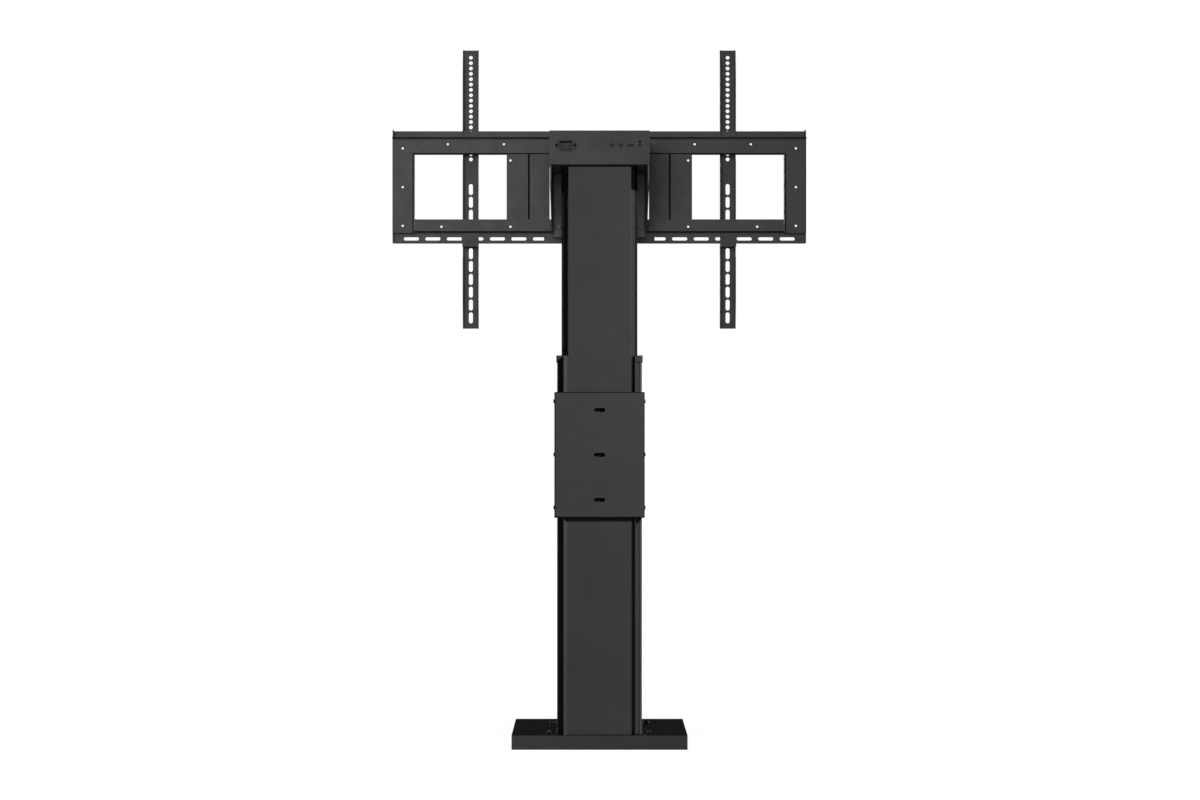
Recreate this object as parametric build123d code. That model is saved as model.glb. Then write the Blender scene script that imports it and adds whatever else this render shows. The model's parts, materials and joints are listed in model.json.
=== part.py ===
from build123d import *
import math
import os

# Electric floor lift for a large display, standing against a wall.
# +X runs across, +Y from the wall towards the display, +Z up, all in millimetres.
# The origin lies under the middle of the base. The model is drawn as it stands in the picture,
# partly raised. A depth is measured from the wall plane towards the display.

# Driving sizes of the whole lift
BASE_WIDTH = 392.0
BASE_DEPTH = 210.0
BASE_HEIGHT = 31.7
WALL_Y = -BASE_DEPTH / 2
COLUMN_MIDDLE = 63.0
LOWER_TOP = 877.0
UPPER_BOTTOM = 479.0
HEAD_BOTTOM = 1303.0
FRAME_WIDTH = 960.0
FRAME_BOTTOM = 1145.5
LIP_TOP = 1407.3
ARM_RISE = 190.2
ARM_LENGTH = 650.0
ARM_OFFSET = 300.0

# Clearances
SLIDE_GAP = 0.3
SEAT_GAP = 0.3
RUNNING_GAP = 0.05
SCREW_GAP = 0.4
CUT_OVERRUN = 2.0

# Base: a pressed cover over a thick steel plate
COVER_SHEET = 3.0
COVER_EDGE = 1.0
PLATE_GAP = 0.2
BASE_BOLT_X = 108.0
BASE_BOLT_REAR = 42.0
BASE_BOLT_PITCH_Y = 116.0
BASE_BOLT_DIAMETER = 8.0
BASE_BOLT_LENGTH = 25.0
BASE_BOLT_HEAD = 13.0
BASE_BOLT_HEAD_HEIGHT = 4.4
BASE_WASHER_DIAMETER = 17.0
BASE_WASHER_THICKNESS = 1.6
HEX_SOCKET = 5.0
HEX_SOCKET_DEPTH = 2.6

# Lower column: a hollow extrusion with a sunk rear face between two ridges, and a wing each side
LOWER_CREST = 3.0
LOWER_SUNK = 7.2
LOWER_FACE_HALF = 72.0
LOWER_FILLET = 7.0
LOWER_BLOCK_HALF = 80.5
LOWER_LEDGE = 20.0
LOWER_WING_HALF = 95.0
LOWER_WING_RADIUS = 4.5
LOWER_WALL = 3.3
LOWER_SIDE_WALL = 3.5
WING_GROOVE_AT = 88.0
WING_GROOVE_WIDTH = 2.4
WING_GROOVE_DEPTH = 0.8
INSIDE_RADIUS = 1.0

# Upper column: the same shape one size down
UPPER_FACE = 14.0
UPPER_BLOCK_HALF = 70.5
UPPER_LEDGE = 30.0
UPPER_WING_HALF = 82.0
UPPER_RADIUS = 1.5
UPPER_WALL = 3.0
UPPER_TOP = 1320.0

# Plastic parts that guide the upper column
STRIP_THICKNESS = 3.0
STRIP_INSET = 3.0
SHOE_HEIGHT = 50.0
CAP_SKIRT_BOTTOM = 863.5
CAP_LID = 1.3
CAP_WALL = 2.0
TONGUE_HEIGHT = 45.0

# Foot of the lower column
FOOT_HEIGHT = 20.0
FOOT_GAP = 0.2
FOOT_BORE = 60.0
FOOT_SCREW_X = 52.0
FOOT_SCREW_Y = 30.0
FOOT_SCREW_DIAMETER = 8.0
FOOT_SCREW_GRIP = 16.0
COUNTERSINK_HEAD = 16.0
SIDE_SCREW_DIAMETER = 6.0
SIDE_SCREW_GRIP = 12.0
SIDE_SCREW_HEAD = 11.0
SIDE_SCREW_Y = 24.0

# Wall bracket
BRACKET_SHEET = 3.0
BRACKET_HALF = 100.7
BRACKET_BOTTOM = 516.0
BRACKET_HEIGHT = 280.0
BRACKET_DEPTH = 110.0
BRACKET_BEND = 3.5
BRACKET_CORNER = 4.0
WALL_SLOT_LENGTH = 25.0
WALL_SLOT_WIDTH = 9.0
WALL_SLOT_PITCH = 100.0
WALL_SLOT_COUNT = 3
BRACKET_SCREW_DEPTH = 60.0
BRACKET_SCREW_PITCH = 120.0
BRACKET_SCREW_COUNT = 3
BRACKET_SCREW_DIAMETER = 5.0
BRACKET_SCREW_HEAD = 9.0
BRACKET_SCREW_HEAD_HEIGHT = 2.8
SPACER_DIAMETER = 12.0

# Spindle drive
NUT_TOP = 710.0
NUT_LENGTH = 36.0
NUT_FLANGE = 6.0
TUBE_DIAMETER = 36.0
TUBE_WALL = 3.0
TUBE_FLANGE_DIAMETER = 58.0
TUBE_FLANGE_THICKNESS = 6.0
TUBE_SCREW_CIRCLE = 46.0
TUBE_SCREW_DIAMETER = 5.0
TUBE_SCREW_HEAD = 8.5
TUBE_SCREW_HEAD_HEIGHT = 3.0
TUBE_SCREW_GRIP = 14.0
SPINDLE_DIAMETER = 20.0
SPINDLE_BOTTOM = 466.0
JOURNAL_DIAMETER = 15.0
BLOCK_BOTTOM = 1135.0
BLOCK_HEIGHT = 25.0
BLOCK_WIDTH = 128.0
BLOCK_DEPTH = 86.0
BLOCK_RADIUS = 6.0
BEARING_DIAMETER = 32.0
BEARING_WIDTH = 9.0
BEARING_LIP = 2.5
COUPLING_DIAMETER = 26.0
COUPLING_HEIGHT = 18.0
GEARBOX_BOTTOM = 1182.0
GEARBOX_DIAMETER = 62.0
GEARBOX_LENGTH = 46.0
GEARBOX_FLANGE = 5.0
MOTOR_DIAMETER = 58.0
MOTOR_LENGTH = 88.0
MOTOR_CAP = 10.0
MOTOR_CAP_DIAMETER = 50.0
OUTPUT_DIAMETER = 12.0
OUTPUT_ENTRY = 8.0
POST_DIAMETER = 10.0
POST_X = 52.0
POST_Y = 32.0

# Head plate and the folded carriage bracket that carries the display frame
HEAD_PLATE_THICKNESS = 12.0
HEAD_PLATE_CORNER = 6.0
HEAD_SCREW_DIAMETER = 6.0
HEAD_SCREW_X = 60.0
HEAD_SCREW_HEAD = 10.0
HEAD_SCREW_HEAD_HEIGHT = 6.0
HEAD_SCREW_LENGTH = 26.0
BOSS_DIAMETER = 11.0
CARRIAGE_SHEET = 3.0
CARRIAGE_HALF = 110.7
CARRIAGE_BOTTOM = 1157.5
CARRIAGE_TOP = 1376.0
CARRIAGE_REAR = 8.0
CARRIAGE_KNEE = 1261.0
CARRIAGE_HEEL = 1164.0
CARRIAGE_KNEE_RADIUS = 22.0
CARRIAGE_BEND = 5.0
CARRIAGE_CORNER = 10.0
CARRIAGE_SCREW_X = 95.0
CARRIAGE_SCREW_DIAMETER = 8.0
CARRIAGE_SCREW_HEAD = 13.0
CARRIAGE_SCREW_HEAD_HEIGHT = 4.0
CARRIAGE_NUT_HEIGHT = 6.5
PLATE_SCREW_DEPTHS = (30.0, 78.0, 126.0)

# Control housing at the head
HOUSING_HEIGHT = 76.0
HOUSING_SHEET = 1.2
HOUSING_GAP = 0.1
HOUSING_REAR = 5.0
HOUSING_EDGE = 0.8
HOUSING_FLOOR = 1.5
FLOOR_GAP = 1.0
SOCKET_Z = 1345.4
INLET_X = -75.4
INLET_WIDTH = 28.0
INLET_HEIGHT = 20.0
INLET_CORNER = 5.0
INLET_WALL = 1.8
INLET_DEPTH = 22.0
INLET_RECESS = 15.0
INLET_SCREW_PITCH = 40.0
INLET_FLANGE_THICKNESS = 1.6
INLET_FLANGE_MARGIN = 3.0
INLET_EAR_DIAMETER = 9.0
INLET_SCREW_DIAMETER = 3.0
INLET_SCREW_HEAD = 5.6
INLET_SCREW_HEAD_HEIGHT = 1.2
INLET_SCREW_GRIP = 6.0
PIN_WIDTH = 2.0
PIN_HEIGHT = 4.0
PIN_LENGTH = 12.5
PIN_PITCH = 7.0
PIN_DROP = 2.0
ROUND_SOCKET_X = (28.5, 47.4)
ROUND_SOCKET_DIAMETER = 9.5
ROUND_SOCKET_BORE = 7.4
ROUND_SOCKET_DEPTH = 14.0
ROUND_SOCKET_RECESS = 8.0
ROUND_SOCKET_KEY = 1.6
FLAT_PORT_X = 68.4
FLAT_PORT_WIDTH = 13.6
FLAT_PORT_HEIGHT = 4.8
FLAT_PORT_WALL = 0.8
FLAT_PORT_DEPTH = 14.0
FLAT_PORT_RECESS = 10.0
FLAT_PORT_TONGUE = 0.9
JACK_X = 90.2
JACK_DIAMETER = 9.0
JACK_BORE = 3.6
JACK_DEPTH = 14.0
JACK_RECESS = 11.0
LAMP_RISE = 8.0
LAMP_DIAMETER = 5.0
LAMP_DEPTH = 6.0
BOARD_WIDTH = 150.0
BOARD_DEPTH = 70.0
BOARD_THICKNESS = 1.6
BOARD_REAR = 34.0
BOARD_STANDOFF = 6.0
STANDOFF_DIAMETER = 6.0
STANDOFF_INSET = 6.0
SUPPLY_WIDTH = 120.0
SUPPLY_DEPTH = 40.0
SUPPLY_HEIGHT = 34.0
SUPPLY_REAR = 108.0
SUPPLY_RADIUS = 2.0

# Display frame: two cut sheets, a hook rail, a slotted rail and two end plates
SHEET = 2.0
RAIL_SHEET = 2.5
SHEET_FACE = 158.5
FLANGE_FRONT = 149.0
UPPER_SHEET_TOP = 1388.8
WINDOW_TOP = 1351.0
WINDOW_BOTTOM = 1199.5
LOWER_SHEET_BOTTOM = 1169.7
END_BAND_WIDTH = 49.0
END_BAND_BOTTOM = 1167.6
SEAM_GAP = 0.5
RETURN_DEPTH = 11.0
STRIP_INNER_SHARE = 0.3429
STRIP_OUTER_SHARE = 0.4479
STRAP_INNER_SHARE = 0.24
STRAP_OUTER_SHARE = 0.3379
STRIP_TOP_GAP = 0.4
HOOK_RAIL_BACK = 180.5
RAIL_LEG = 9.4
SLOT_WEB_FACE = 167.0
RAIL_SLOT_LENGTH = 35.0
RAIL_SLOT_WIDTH = 7.6
RAIL_SLOT_PITCH = 50.0
RAIL_SLOT_FIRST = 37.0
RAIL_SLOT_MARGIN = 20.0
RAIL_SLOT_Z = 1155.2
PANEL_HOLE = 5.2
END_HOLE_INSET = 23.8
END_HOLE_TOP = 1364.4
END_HOLE_PITCH = 89.95
END_HOLE_COUNT = 3
BAND_HOLE_Z = 1373.9
BAND_HOLE_SHARES = (0.461, 0.7325)
LOW_HOLE_Z = 1182.5
LOW_HOLE_SHARES = (0.4296, 0.7633)
STRIP_HOLE_Z = 1336.3
UPRIGHT_OVERLAP = 23.0
UPRIGHT_DEPTH = 11.0
BACKING_HALF = 128.6
BACKING_HEIGHT = 30.0

# Display arms: U channels open to the rear that hook over the frame
ARM_WIDTH = 37.0
ARM_SHEET = 2.5
ARM_WEB_FRONT = 187.0
ARM_LIP_EDGE = 175.5
ARM_END_EDGE = 184.5
ARM_TAPER_SHARE = 0.1
ARM_BEND = 2.0
NOTCH_GAP = 0.5
HOOK_MOUTH = 1389.3
TOP_NOTCH_BOTTOM = 1341.0
LOW_NOTCH_TOP = 1203.0
LOW_NOTCH_BOTTOM = 1113.8
ARM_HOLE = 8.8
ARM_HOLE_FIRST = 16.8
ARM_HOLE_PITCH = 12.5
ARM_HOLE_COUNT = 20
ARM_SLOT_LENGTH = 25.4
ARM_SLOT_WIDTH = 9.3
ARM_SLOTS_ABOVE_COUNT = 4
ARM_SLOT_PITCH = 30.0
ARM_END_MARGIN = 12.0

# Lock clip under each arm
CLIP_WIDTH = 36.6
CLIP_SHEET = 2.5
CLIP_TOP = 1169.2
CLIP_BOTTOM = 1137.0
CLIP_TAB_TOP = 1166.0
LOCK_BOLT_RISE = 15.7
LOCK_BOLT_DIAMETER = 6.0
LOCK_HEAD_DIAMETER = 14.0
LOCK_HEAD_HEIGHT = 2.2
LOCK_COLLAR_DIAMETER = 10.0
LOCK_COLLAR_HEIGHT = 3.0

# Values that follow from the sizes above
MIDDLE_Y = WALL_Y + COLUMN_MIDDLE
BASE_PLATE_TOP = BASE_HEIGHT - COVER_SHEET
LOWER_HALF_DEPTH = COLUMN_MIDDLE - LOWER_CREST
LOWER_CAVITY_HALF = COLUMN_MIDDLE - LOWER_CREST - LOWER_SUNK - LOWER_WALL
UPPER_HALF_DEPTH = COLUMN_MIDDLE - UPPER_FACE
WING_CAVITY_HALF = LOWER_WING_HALF - LOWER_SIDE_WALL
SLIDE_HALF = UPPER_WING_HALF + STRIP_THICKNESS
HEAD_PLATE_TOP = UPPER_TOP + HEAD_PLATE_THICKNESS
HOUSING_TOP = HEAD_BOTTOM + HOUSING_HEIGHT
CARRIAGE_FACE = SHEET_FACE - CARRIAGE_SHEET
CARRIAGE_INNER = CARRIAGE_HALF - CARRIAGE_SHEET
HOUSING_HALF = CARRIAGE_HALF + HOUSING_GAP + HOUSING_SHEET
SHEET_BACK = SHEET_FACE + SHEET
LIP_FACE = HOOK_RAIL_BACK - RAIL_SHEET
ARM_TOP = LIP_TOP + ARM_RISE
ARM_BOTTOM = ARM_TOP - ARM_LENGTH
ARM_TAPER = ARM_LENGTH * ARM_TAPER_SHARE
LOCK_BOLT_Z = CLIP_BOTTOM + LOCK_BOLT_RISE
ARM_SLOT_FIRST = ARM_TOP - LOCK_BOLT_Z - ARM_SLOT_PITCH * ARM_SLOTS_ABOVE_COUNT
ARM_SLOT_COUNT = int((ARM_LENGTH - ARM_SLOT_FIRST - ARM_END_MARGIN) / ARM_SLOT_PITCH) + 1
ARM_BACK = ARM_WEB_FRONT + ARM_SHEET
ARM_NOTCH_EDGE = HOOK_RAIL_BACK + NOTCH_GAP
FRAME_HALF = FRAME_WIDTH / 2
END_BAND_INNER = FRAME_HALF - END_BAND_WIDTH
END_HOLE_X = FRAME_HALF - END_HOLE_INSET
BAND_HOLE_X = [FRAME_HALF * share for share in BAND_HOLE_SHARES]
LOW_HOLE_X = [FRAME_HALF * share for share in LOW_HOLE_SHARES]
STRIP_HOLE_X = LOW_HOLE_X[0]
STRIP_INNER = FRAME_HALF * STRIP_INNER_SHARE
STRIP_OUTER = FRAME_HALF * STRIP_OUTER_SHARE
STRAP_INNER = FRAME_HALF * STRAP_INNER_SHARE
STRAP_OUTER = FRAME_HALF * STRAP_OUTER_SHARE
UPRIGHT_INNER = STRAP_OUTER - UPRIGHT_OVERLAP
UPRIGHT_OUTER = STRIP_INNER + UPRIGHT_OVERLAP
RAIL_SLOT_REACH = FRAME_HALF - RAIL_SLOT_MARGIN - RAIL_SLOT_LENGTH / 2
RAIL_SLOT_COUNT = int((RAIL_SLOT_REACH - RAIL_SLOT_FIRST) / RAIL_SLOT_PITCH) + 1
BRACKET_MIDDLE = BRACKET_BOTTOM + BRACKET_HEIGHT / 2
CARRIAGE_SCREW_ROWS = ((WINDOW_BOTTOM + CARRIAGE_HEEL) / 2, (WINDOW_TOP + CARRIAGE_TOP) / 2)
FOOT_TOP = BASE_HEIGHT + FOOT_HEIGHT


def wall_depth(depth):
    """The Y of a plane that lies this far from the wall."""
    return WALL_Y + depth


def block(low_x, high_x, near, far, low_z, high_z):
    """A straight block between two X values, two depths and two heights."""
    size = Box(high_x - low_x, far - near, high_z - low_z)
    middle = Pos((low_x + high_x) / 2, wall_depth((near + far) / 2), (low_z + high_z) / 2)
    return middle * size


def upright_rod(x, y, low_z, high_z, diameter):
    """A round bar that stands along Z."""
    return Pos(x, y, (low_z + high_z) / 2) * Cylinder(diameter / 2, high_z - low_z)


def rod_through(x, near, far, z, diameter):
    """A round bar along Y, from one depth to another."""
    middle = Pos(x, wall_depth((near + far) / 2), z)
    return middle * Rot(90, 0, 0) * Cylinder(diameter / 2, far - near)


def rod_across(low_x, high_x, depth, z, diameter):
    """A round bar along X."""
    middle = Pos((low_x + high_x) / 2, wall_depth(depth), z)
    return middle * Rot(0, 90, 0) * Cylinder(diameter / 2, high_x - low_x)


def hexagon_through(x, near, far, z, across):
    """A hexagonal prism along Y."""
    plane = Plane(origin=(x, wall_depth(near), z), x_dir=(1, 0, 0), z_dir=(0, 1, 0))
    return extrude(plane * RegularPolygon(across / 2, 6, major_radius=False), amount=far - near)


def plan_prism(outline, low_z, high_z):
    """A plan outline, drawn about the columns' middle, pulled up between two heights."""
    return Pos(0, MIDDLE_Y, low_z) * extrude(outline, amount=high_z - low_z)


def front_sheet(outline, near, thickness):
    """An outline drawn in X and Z, made into a sheet whose wall side lies at one depth."""
    plane = Plane.XZ.offset(-wall_depth(near))
    return extrude(plane * outline, amount=-thickness)


def side_sheet(corners, low_x, thickness):
    """A closed outline of (depth, height) corners, pulled along X."""
    points = [(wall_depth(depth), height) for depth, height in corners]
    outline = make_face(Polyline(*points, close=True))
    return extrude(Plane.YZ.offset(low_x) * outline, amount=thickness)


def panel(low_x, high_x, low_z, high_z):
    """A plain rectangle for a front outline."""
    return Pos((low_x + high_x) / 2, (low_z + high_z) / 2) * Rectangle(high_x - low_x, high_z - low_z)


def mirrored(shape):
    """The same piece on the other side of the lift."""
    return mirror(shape, about=Plane.YZ)


def both_sides(shape):
    """A pair of separate solids, one on each side."""
    return Compound([*shape.solids(), *mirrored(shape).solids()])


def group(shapes):
    """Separate solids that share one name."""
    return Compound([solid for shape in shapes for solid in shape.solids()])


def countersunk_cone(head, shank):
    """The height of a 90 degree countersunk head."""
    return (head - shank) / 2


def lower_outline():
    """Plan of the lower column: block, two wings, and a sunk face front and rear."""
    core = Rectangle(2 * LOWER_BLOCK_HALF, 2 * LOWER_HALF_DEPTH)
    wings = RectangleRounded(
        2 * LOWER_WING_HALF, 2 * (COLUMN_MIDDLE - LOWER_LEDGE), LOWER_WING_RADIUS
    )
    outline = core + wings
    channel_half = LOWER_FACE_HALF + LOWER_FILLET
    groove = Rectangle(WING_GROOVE_WIDTH, 2 * WING_GROOVE_DEPTH)
    for side in (-1, 1):
        channel = RectangleRounded(2 * channel_half, 2 * LOWER_SUNK, LOWER_FILLET)
        outline -= Pos(0, side * LOWER_HALF_DEPTH) * channel
        for hand in (-1, 1):
            ledge = side * (COLUMN_MIDDLE - LOWER_LEDGE)
            outline -= Pos(hand * WING_GROOVE_AT, ledge) * groove
    return outline


def lower_cavity():
    """Plan of the hollow in the lower column."""
    core = RectangleRounded(
        2 * (LOWER_BLOCK_HALF - LOWER_SIDE_WALL), 2 * LOWER_CAVITY_HALF, INSIDE_RADIUS
    )
    wings = RectangleRounded(
        2 * WING_CAVITY_HALF, 2 * (COLUMN_MIDDLE - LOWER_LEDGE - LOWER_WALL), INSIDE_RADIUS
    )
    return core + wings


def upper_outline(inset=0.0):
    """Plan of the upper column, or the same plan drawn in by one wall."""
    core = RectangleRounded(
        2 * (UPPER_BLOCK_HALF - inset), 2 * (UPPER_HALF_DEPTH - inset), UPPER_RADIUS
    )
    wings = RectangleRounded(
        2 * (UPPER_WING_HALF - inset), 2 * (COLUMN_MIDDLE - UPPER_LEDGE - inset), UPPER_RADIUS
    )
    return core + wings


def base_bolt_places():
    """Middles of the four bolts on top of the base."""
    rear = wall_depth(BASE_BOLT_REAR)
    return [(hand * BASE_BOLT_X, y) for hand in (-1, 1) for y in (rear, rear + BASE_BOLT_PITCH_Y)]


def foot_screw_places():
    """Middles of the four screws that hold the column foot down."""
    return [
        (hand * FOOT_SCREW_X, MIDDLE_Y + side * FOOT_SCREW_Y) for hand in (-1, 1) for side in (-1, 1)
    ]


def tube_screw_places():
    """Middles of the four screws through the push tube's flange."""
    radius = TUBE_SCREW_CIRCLE / 2
    turns = [math.radians(45 + 90 * step) for step in range(4)]
    return [(radius * math.cos(turn), MIDDLE_Y + radius * math.sin(turn)) for turn in turns]


def base_cover():
    """Pressed cover, open below, with a hole for every fixing."""
    outer = Pos(0, 0, BASE_HEIGHT / 2) * Box(BASE_WIDTH, BASE_DEPTH, BASE_HEIGHT)
    outer = fillet(outer.edges().filter_by(Axis.Z), COVER_EDGE)
    inner_width = BASE_WIDTH - 2 * COVER_SHEET
    inner_depth = BASE_DEPTH - 2 * COVER_SHEET
    height = BASE_PLATE_TOP + CUT_OVERRUN
    shell = outer - Pos(0, 0, height / 2 - CUT_OVERRUN) * Box(inner_width, inner_depth, height)
    for x, y in base_bolt_places():
        shell -= upright_rod(x, y, 0, BASE_HEIGHT + CUT_OVERRUN, BASE_BOLT_DIAMETER + SCREW_GAP)
    for x, y in foot_screw_places():
        shell -= upright_rod(x, y, 0, BASE_HEIGHT + CUT_OVERRUN, FOOT_SCREW_DIAMETER + SCREW_GAP)
    for x, y in tube_screw_places():
        shell -= upright_rod(x, y, 0, BASE_HEIGHT + CUT_OVERRUN, TUBE_SCREW_DIAMETER)
    return shell


def base_plate():
    """Thick steel plate that fills the cover and takes every thread."""
    width = BASE_WIDTH - 2 * COVER_SHEET - 2 * PLATE_GAP
    depth = BASE_DEPTH - 2 * COVER_SHEET - 2 * PLATE_GAP
    plate = Pos(0, 0, BASE_PLATE_TOP / 2) * Box(width, depth, BASE_PLATE_TOP)
    thread_bottom = BASE_HEIGHT + BASE_WASHER_THICKNESS - BASE_BOLT_LENGTH
    for x, y in base_bolt_places():
        plate -= upright_rod(x, y, thread_bottom, BASE_HEIGHT, BASE_BOLT_DIAMETER)
    for x, y in foot_screw_places():
        plate -= foot_screw_shape(x, y)
    for x, y in tube_screw_places():
        plate -= upright_rod(x, y, BASE_HEIGHT - TUBE_SCREW_GRIP, BASE_HEIGHT, TUBE_SCREW_DIAMETER)
    return plate


def base_bolts():
    """Button head bolts with a hexagonal key socket."""
    bolts = []
    for x, y in base_bolt_places():
        seat = BASE_HEIGHT + BASE_WASHER_THICKNESS
        shank = upright_rod(x, y, seat - BASE_BOLT_LENGTH, seat, BASE_BOLT_DIAMETER)
        head = upright_rod(x, y, seat, seat + BASE_BOLT_HEAD_HEIGHT, BASE_BOLT_HEAD)
        rim = head.edges().group_by(Axis.Z)[-1]
        head = fillet(rim, BASE_BOLT_HEAD_HEIGHT / 2)
        key = Pos(x, y, seat + BASE_BOLT_HEAD_HEIGHT) * extrude(
            RegularPolygon(HEX_SOCKET / 2, 6, major_radius=False), amount=-HEX_SOCKET_DEPTH
        )
        bolts.append(shank + head - key)
    return group(bolts)


def base_washers():
    """A flat washer under each base bolt."""
    washers = []
    for x, y in base_bolt_places():
        top = BASE_HEIGHT + BASE_WASHER_THICKNESS
        disc = upright_rod(x, y, BASE_HEIGHT, top, BASE_WASHER_DIAMETER)
        hole = upright_rod(x, y, BASE_HEIGHT, top, BASE_BOLT_DIAMETER + SCREW_GAP)
        washers.append(disc - hole)
    return group(washers)


def lower_column():
    """The fixed extrusion that stands on the base."""
    tube = plan_prism(lower_outline() - lower_cavity(), BASE_HEIGHT, LOWER_TOP)
    for screw in foot_side_screw_shapes():
        tube -= screw
    hole_span = WING_CAVITY_HALF - CUT_OVERRUN
    for z in bracket_screw_heights():
        for hand in (-1, 1):
            ends = sorted((hand * hole_span, hand * (LOWER_WING_HALF + CUT_OVERRUN)))
            tube -= rod_across(ends[0], ends[1], BRACKET_SCREW_DEPTH, z, BRACKET_SCREW_DIAMETER)
    return tube


def column_foot():
    """Steel plug inside the bottom of the lower column, with a bore for the push tube's flange."""
    plug = plan_prism(offset(lower_cavity(), -FOOT_GAP), BASE_HEIGHT, FOOT_TOP)
    plug -= upright_rod(0, MIDDLE_Y, BASE_HEIGHT, FOOT_TOP, FOOT_BORE)
    for x, y in foot_screw_places():
        plug -= upright_rod(x, y, BASE_HEIGHT, BASE_HEIGHT + FOOT_SCREW_GRIP, FOOT_SCREW_DIAMETER)
    for screw in foot_side_screw_shapes():
        plug -= screw
    return plug


def foot_screw_shape(x, y):
    """One countersunk screw, driven up from under the base."""
    cone = countersunk_cone(COUNTERSINK_HEAD, FOOT_SCREW_DIAMETER)
    head = Pos(x, y, cone / 2) * Cone(COUNTERSINK_HEAD / 2, FOOT_SCREW_DIAMETER / 2, cone)
    return head + upright_rod(x, y, 0, BASE_HEIGHT + FOOT_SCREW_GRIP, FOOT_SCREW_DIAMETER)


def foot_screws():
    """Four screws from below that clamp plate, cover and foot together."""
    return group([foot_screw_shape(x, y) for x, y in foot_screw_places()])


def foot_side_screw_shapes():
    """Countersunk screws through the wings into the foot, two on each side."""
    cone = countersunk_cone(SIDE_SCREW_HEAD, SIDE_SCREW_DIAMETER)
    z = BASE_HEIGHT + FOOT_HEIGHT / 2
    screws = []
    for side in (-1, 1):
        depth = COLUMN_MIDDLE + side * SIDE_SCREW_Y
        tip = LOWER_WING_HALF - LOWER_SIDE_WALL - SIDE_SCREW_GRIP
        shank = rod_across(tip, LOWER_WING_HALF, depth, z, SIDE_SCREW_DIAMETER)
        place = Pos(LOWER_WING_HALF - cone / 2, wall_depth(depth), z)
        head = place * Rot(0, 90, 0) * Cone(SIDE_SCREW_DIAMETER / 2, SIDE_SCREW_HEAD / 2, cone)
        screw = shank + head
        screws.extend([screw, mirrored(screw)])
    return screws


def guide_cap():
    """Plastic cap on the right wing of the lower column, with a tongue that guides the slide."""
    outer_half = LOWER_WING_HALF + CAP_WALL
    half_depth = COLUMN_MIDDLE - LOWER_LEDGE + CAP_WALL
    lid_bottom = LOWER_TOP
    lid_top = LOWER_TOP + CAP_LID
    near = COLUMN_MIDDLE - half_depth
    far = COLUMN_MIDDLE + half_depth
    inner_x = LOWER_BLOCK_HALF + SEAT_GAP
    skirt = block(inner_x, outer_half, near, far, CAP_SKIRT_BOTTOM, lid_top)
    skirt = fillet(skirt.edges().filter_by(Axis.Z).group_by(Axis.X)[-1], LOWER_WING_RADIUS)
    body = plan_prism(offset(lower_outline(), SEAT_GAP / 2), CAP_SKIRT_BOTTOM, lid_bottom)
    body += plan_prism(lower_cavity(), CAP_SKIRT_BOTTOM, lid_bottom)
    cap = skirt - body
    tongue_near = UPPER_LEDGE + STRIP_INSET
    tongue_far = 2 * COLUMN_MIDDLE - tongue_near
    tongue = block(
        SLIDE_HALF + SLIDE_GAP, WING_CAVITY_HALF - SEAT_GAP / 2,
        tongue_near, tongue_far, lid_top - TONGUE_HEIGHT, lid_top,
    )
    passage = plan_prism(
        offset(upper_outline(), SLIDE_GAP), CAP_SKIRT_BOTTOM - CUT_OVERRUN, lid_top + CUT_OVERRUN
    )
    slide_way = block(
        0, SLIDE_HALF + SLIDE_GAP, UPPER_LEDGE - SLIDE_GAP,
        2 * COLUMN_MIDDLE - UPPER_LEDGE + SLIDE_GAP,
        CAP_SKIRT_BOTTOM - CUT_OVERRUN, lid_top + CUT_OVERRUN,
    )
    return cap - passage - slide_way + tongue


def bracket_screw_heights():
    """Heights of the wall bracket's side screws."""
    first = BRACKET_MIDDLE - BRACKET_SCREW_PITCH * (BRACKET_SCREW_COUNT - 1) / 2
    return [first + BRACKET_SCREW_PITCH * step for step in range(BRACKET_SCREW_COUNT)]


def wall_slot_heights():
    """Heights of the slots that take the wall screws."""
    first = BRACKET_MIDDLE - WALL_SLOT_PITCH * (WALL_SLOT_COUNT - 1) / 2
    return [first + WALL_SLOT_PITCH * step for step in range(WALL_SLOT_COUNT)]


def wall_bracket():
    """Folded bracket that wraps the lower column and is screwed to the wall."""
    top = BRACKET_BOTTOM + BRACKET_HEIGHT
    outer = block(-BRACKET_HALF, BRACKET_HALF, 0, BRACKET_DEPTH, BRACKET_BOTTOM, top)
    rear_edges = outer.edges().filter_by(Axis.Z).group_by(Axis.Y)[0]
    outer = fillet(rear_edges, BRACKET_BEND)
    inner_half = BRACKET_HALF - BRACKET_SHEET
    hollow = block(
        -inner_half, inner_half, BRACKET_SHEET, BRACKET_DEPTH + CUT_OVERRUN,
        BRACKET_BOTTOM - CUT_OVERRUN, top + CUT_OVERRUN,
    )
    bracket = outer - hollow
    corners = bracket.edges().filter_by(Axis.X).group_by(Axis.Y)[-1]
    bracket = fillet(corners, BRACKET_CORNER)
    slot = SlotOverall(WALL_SLOT_LENGTH, WALL_SLOT_WIDTH)
    for z in wall_slot_heights():
        bracket -= front_sheet(Pos(0, z) * slot, -CUT_OVERRUN, BRACKET_SHEET + 2 * CUT_OVERRUN)
    reach = BRACKET_HALF + CUT_OVERRUN
    for z in bracket_screw_heights():
        bracket -= rod_across(-reach, reach, BRACKET_SCREW_DEPTH, z, BRACKET_SCREW_DIAMETER + SCREW_GAP)
    return bracket


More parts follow.
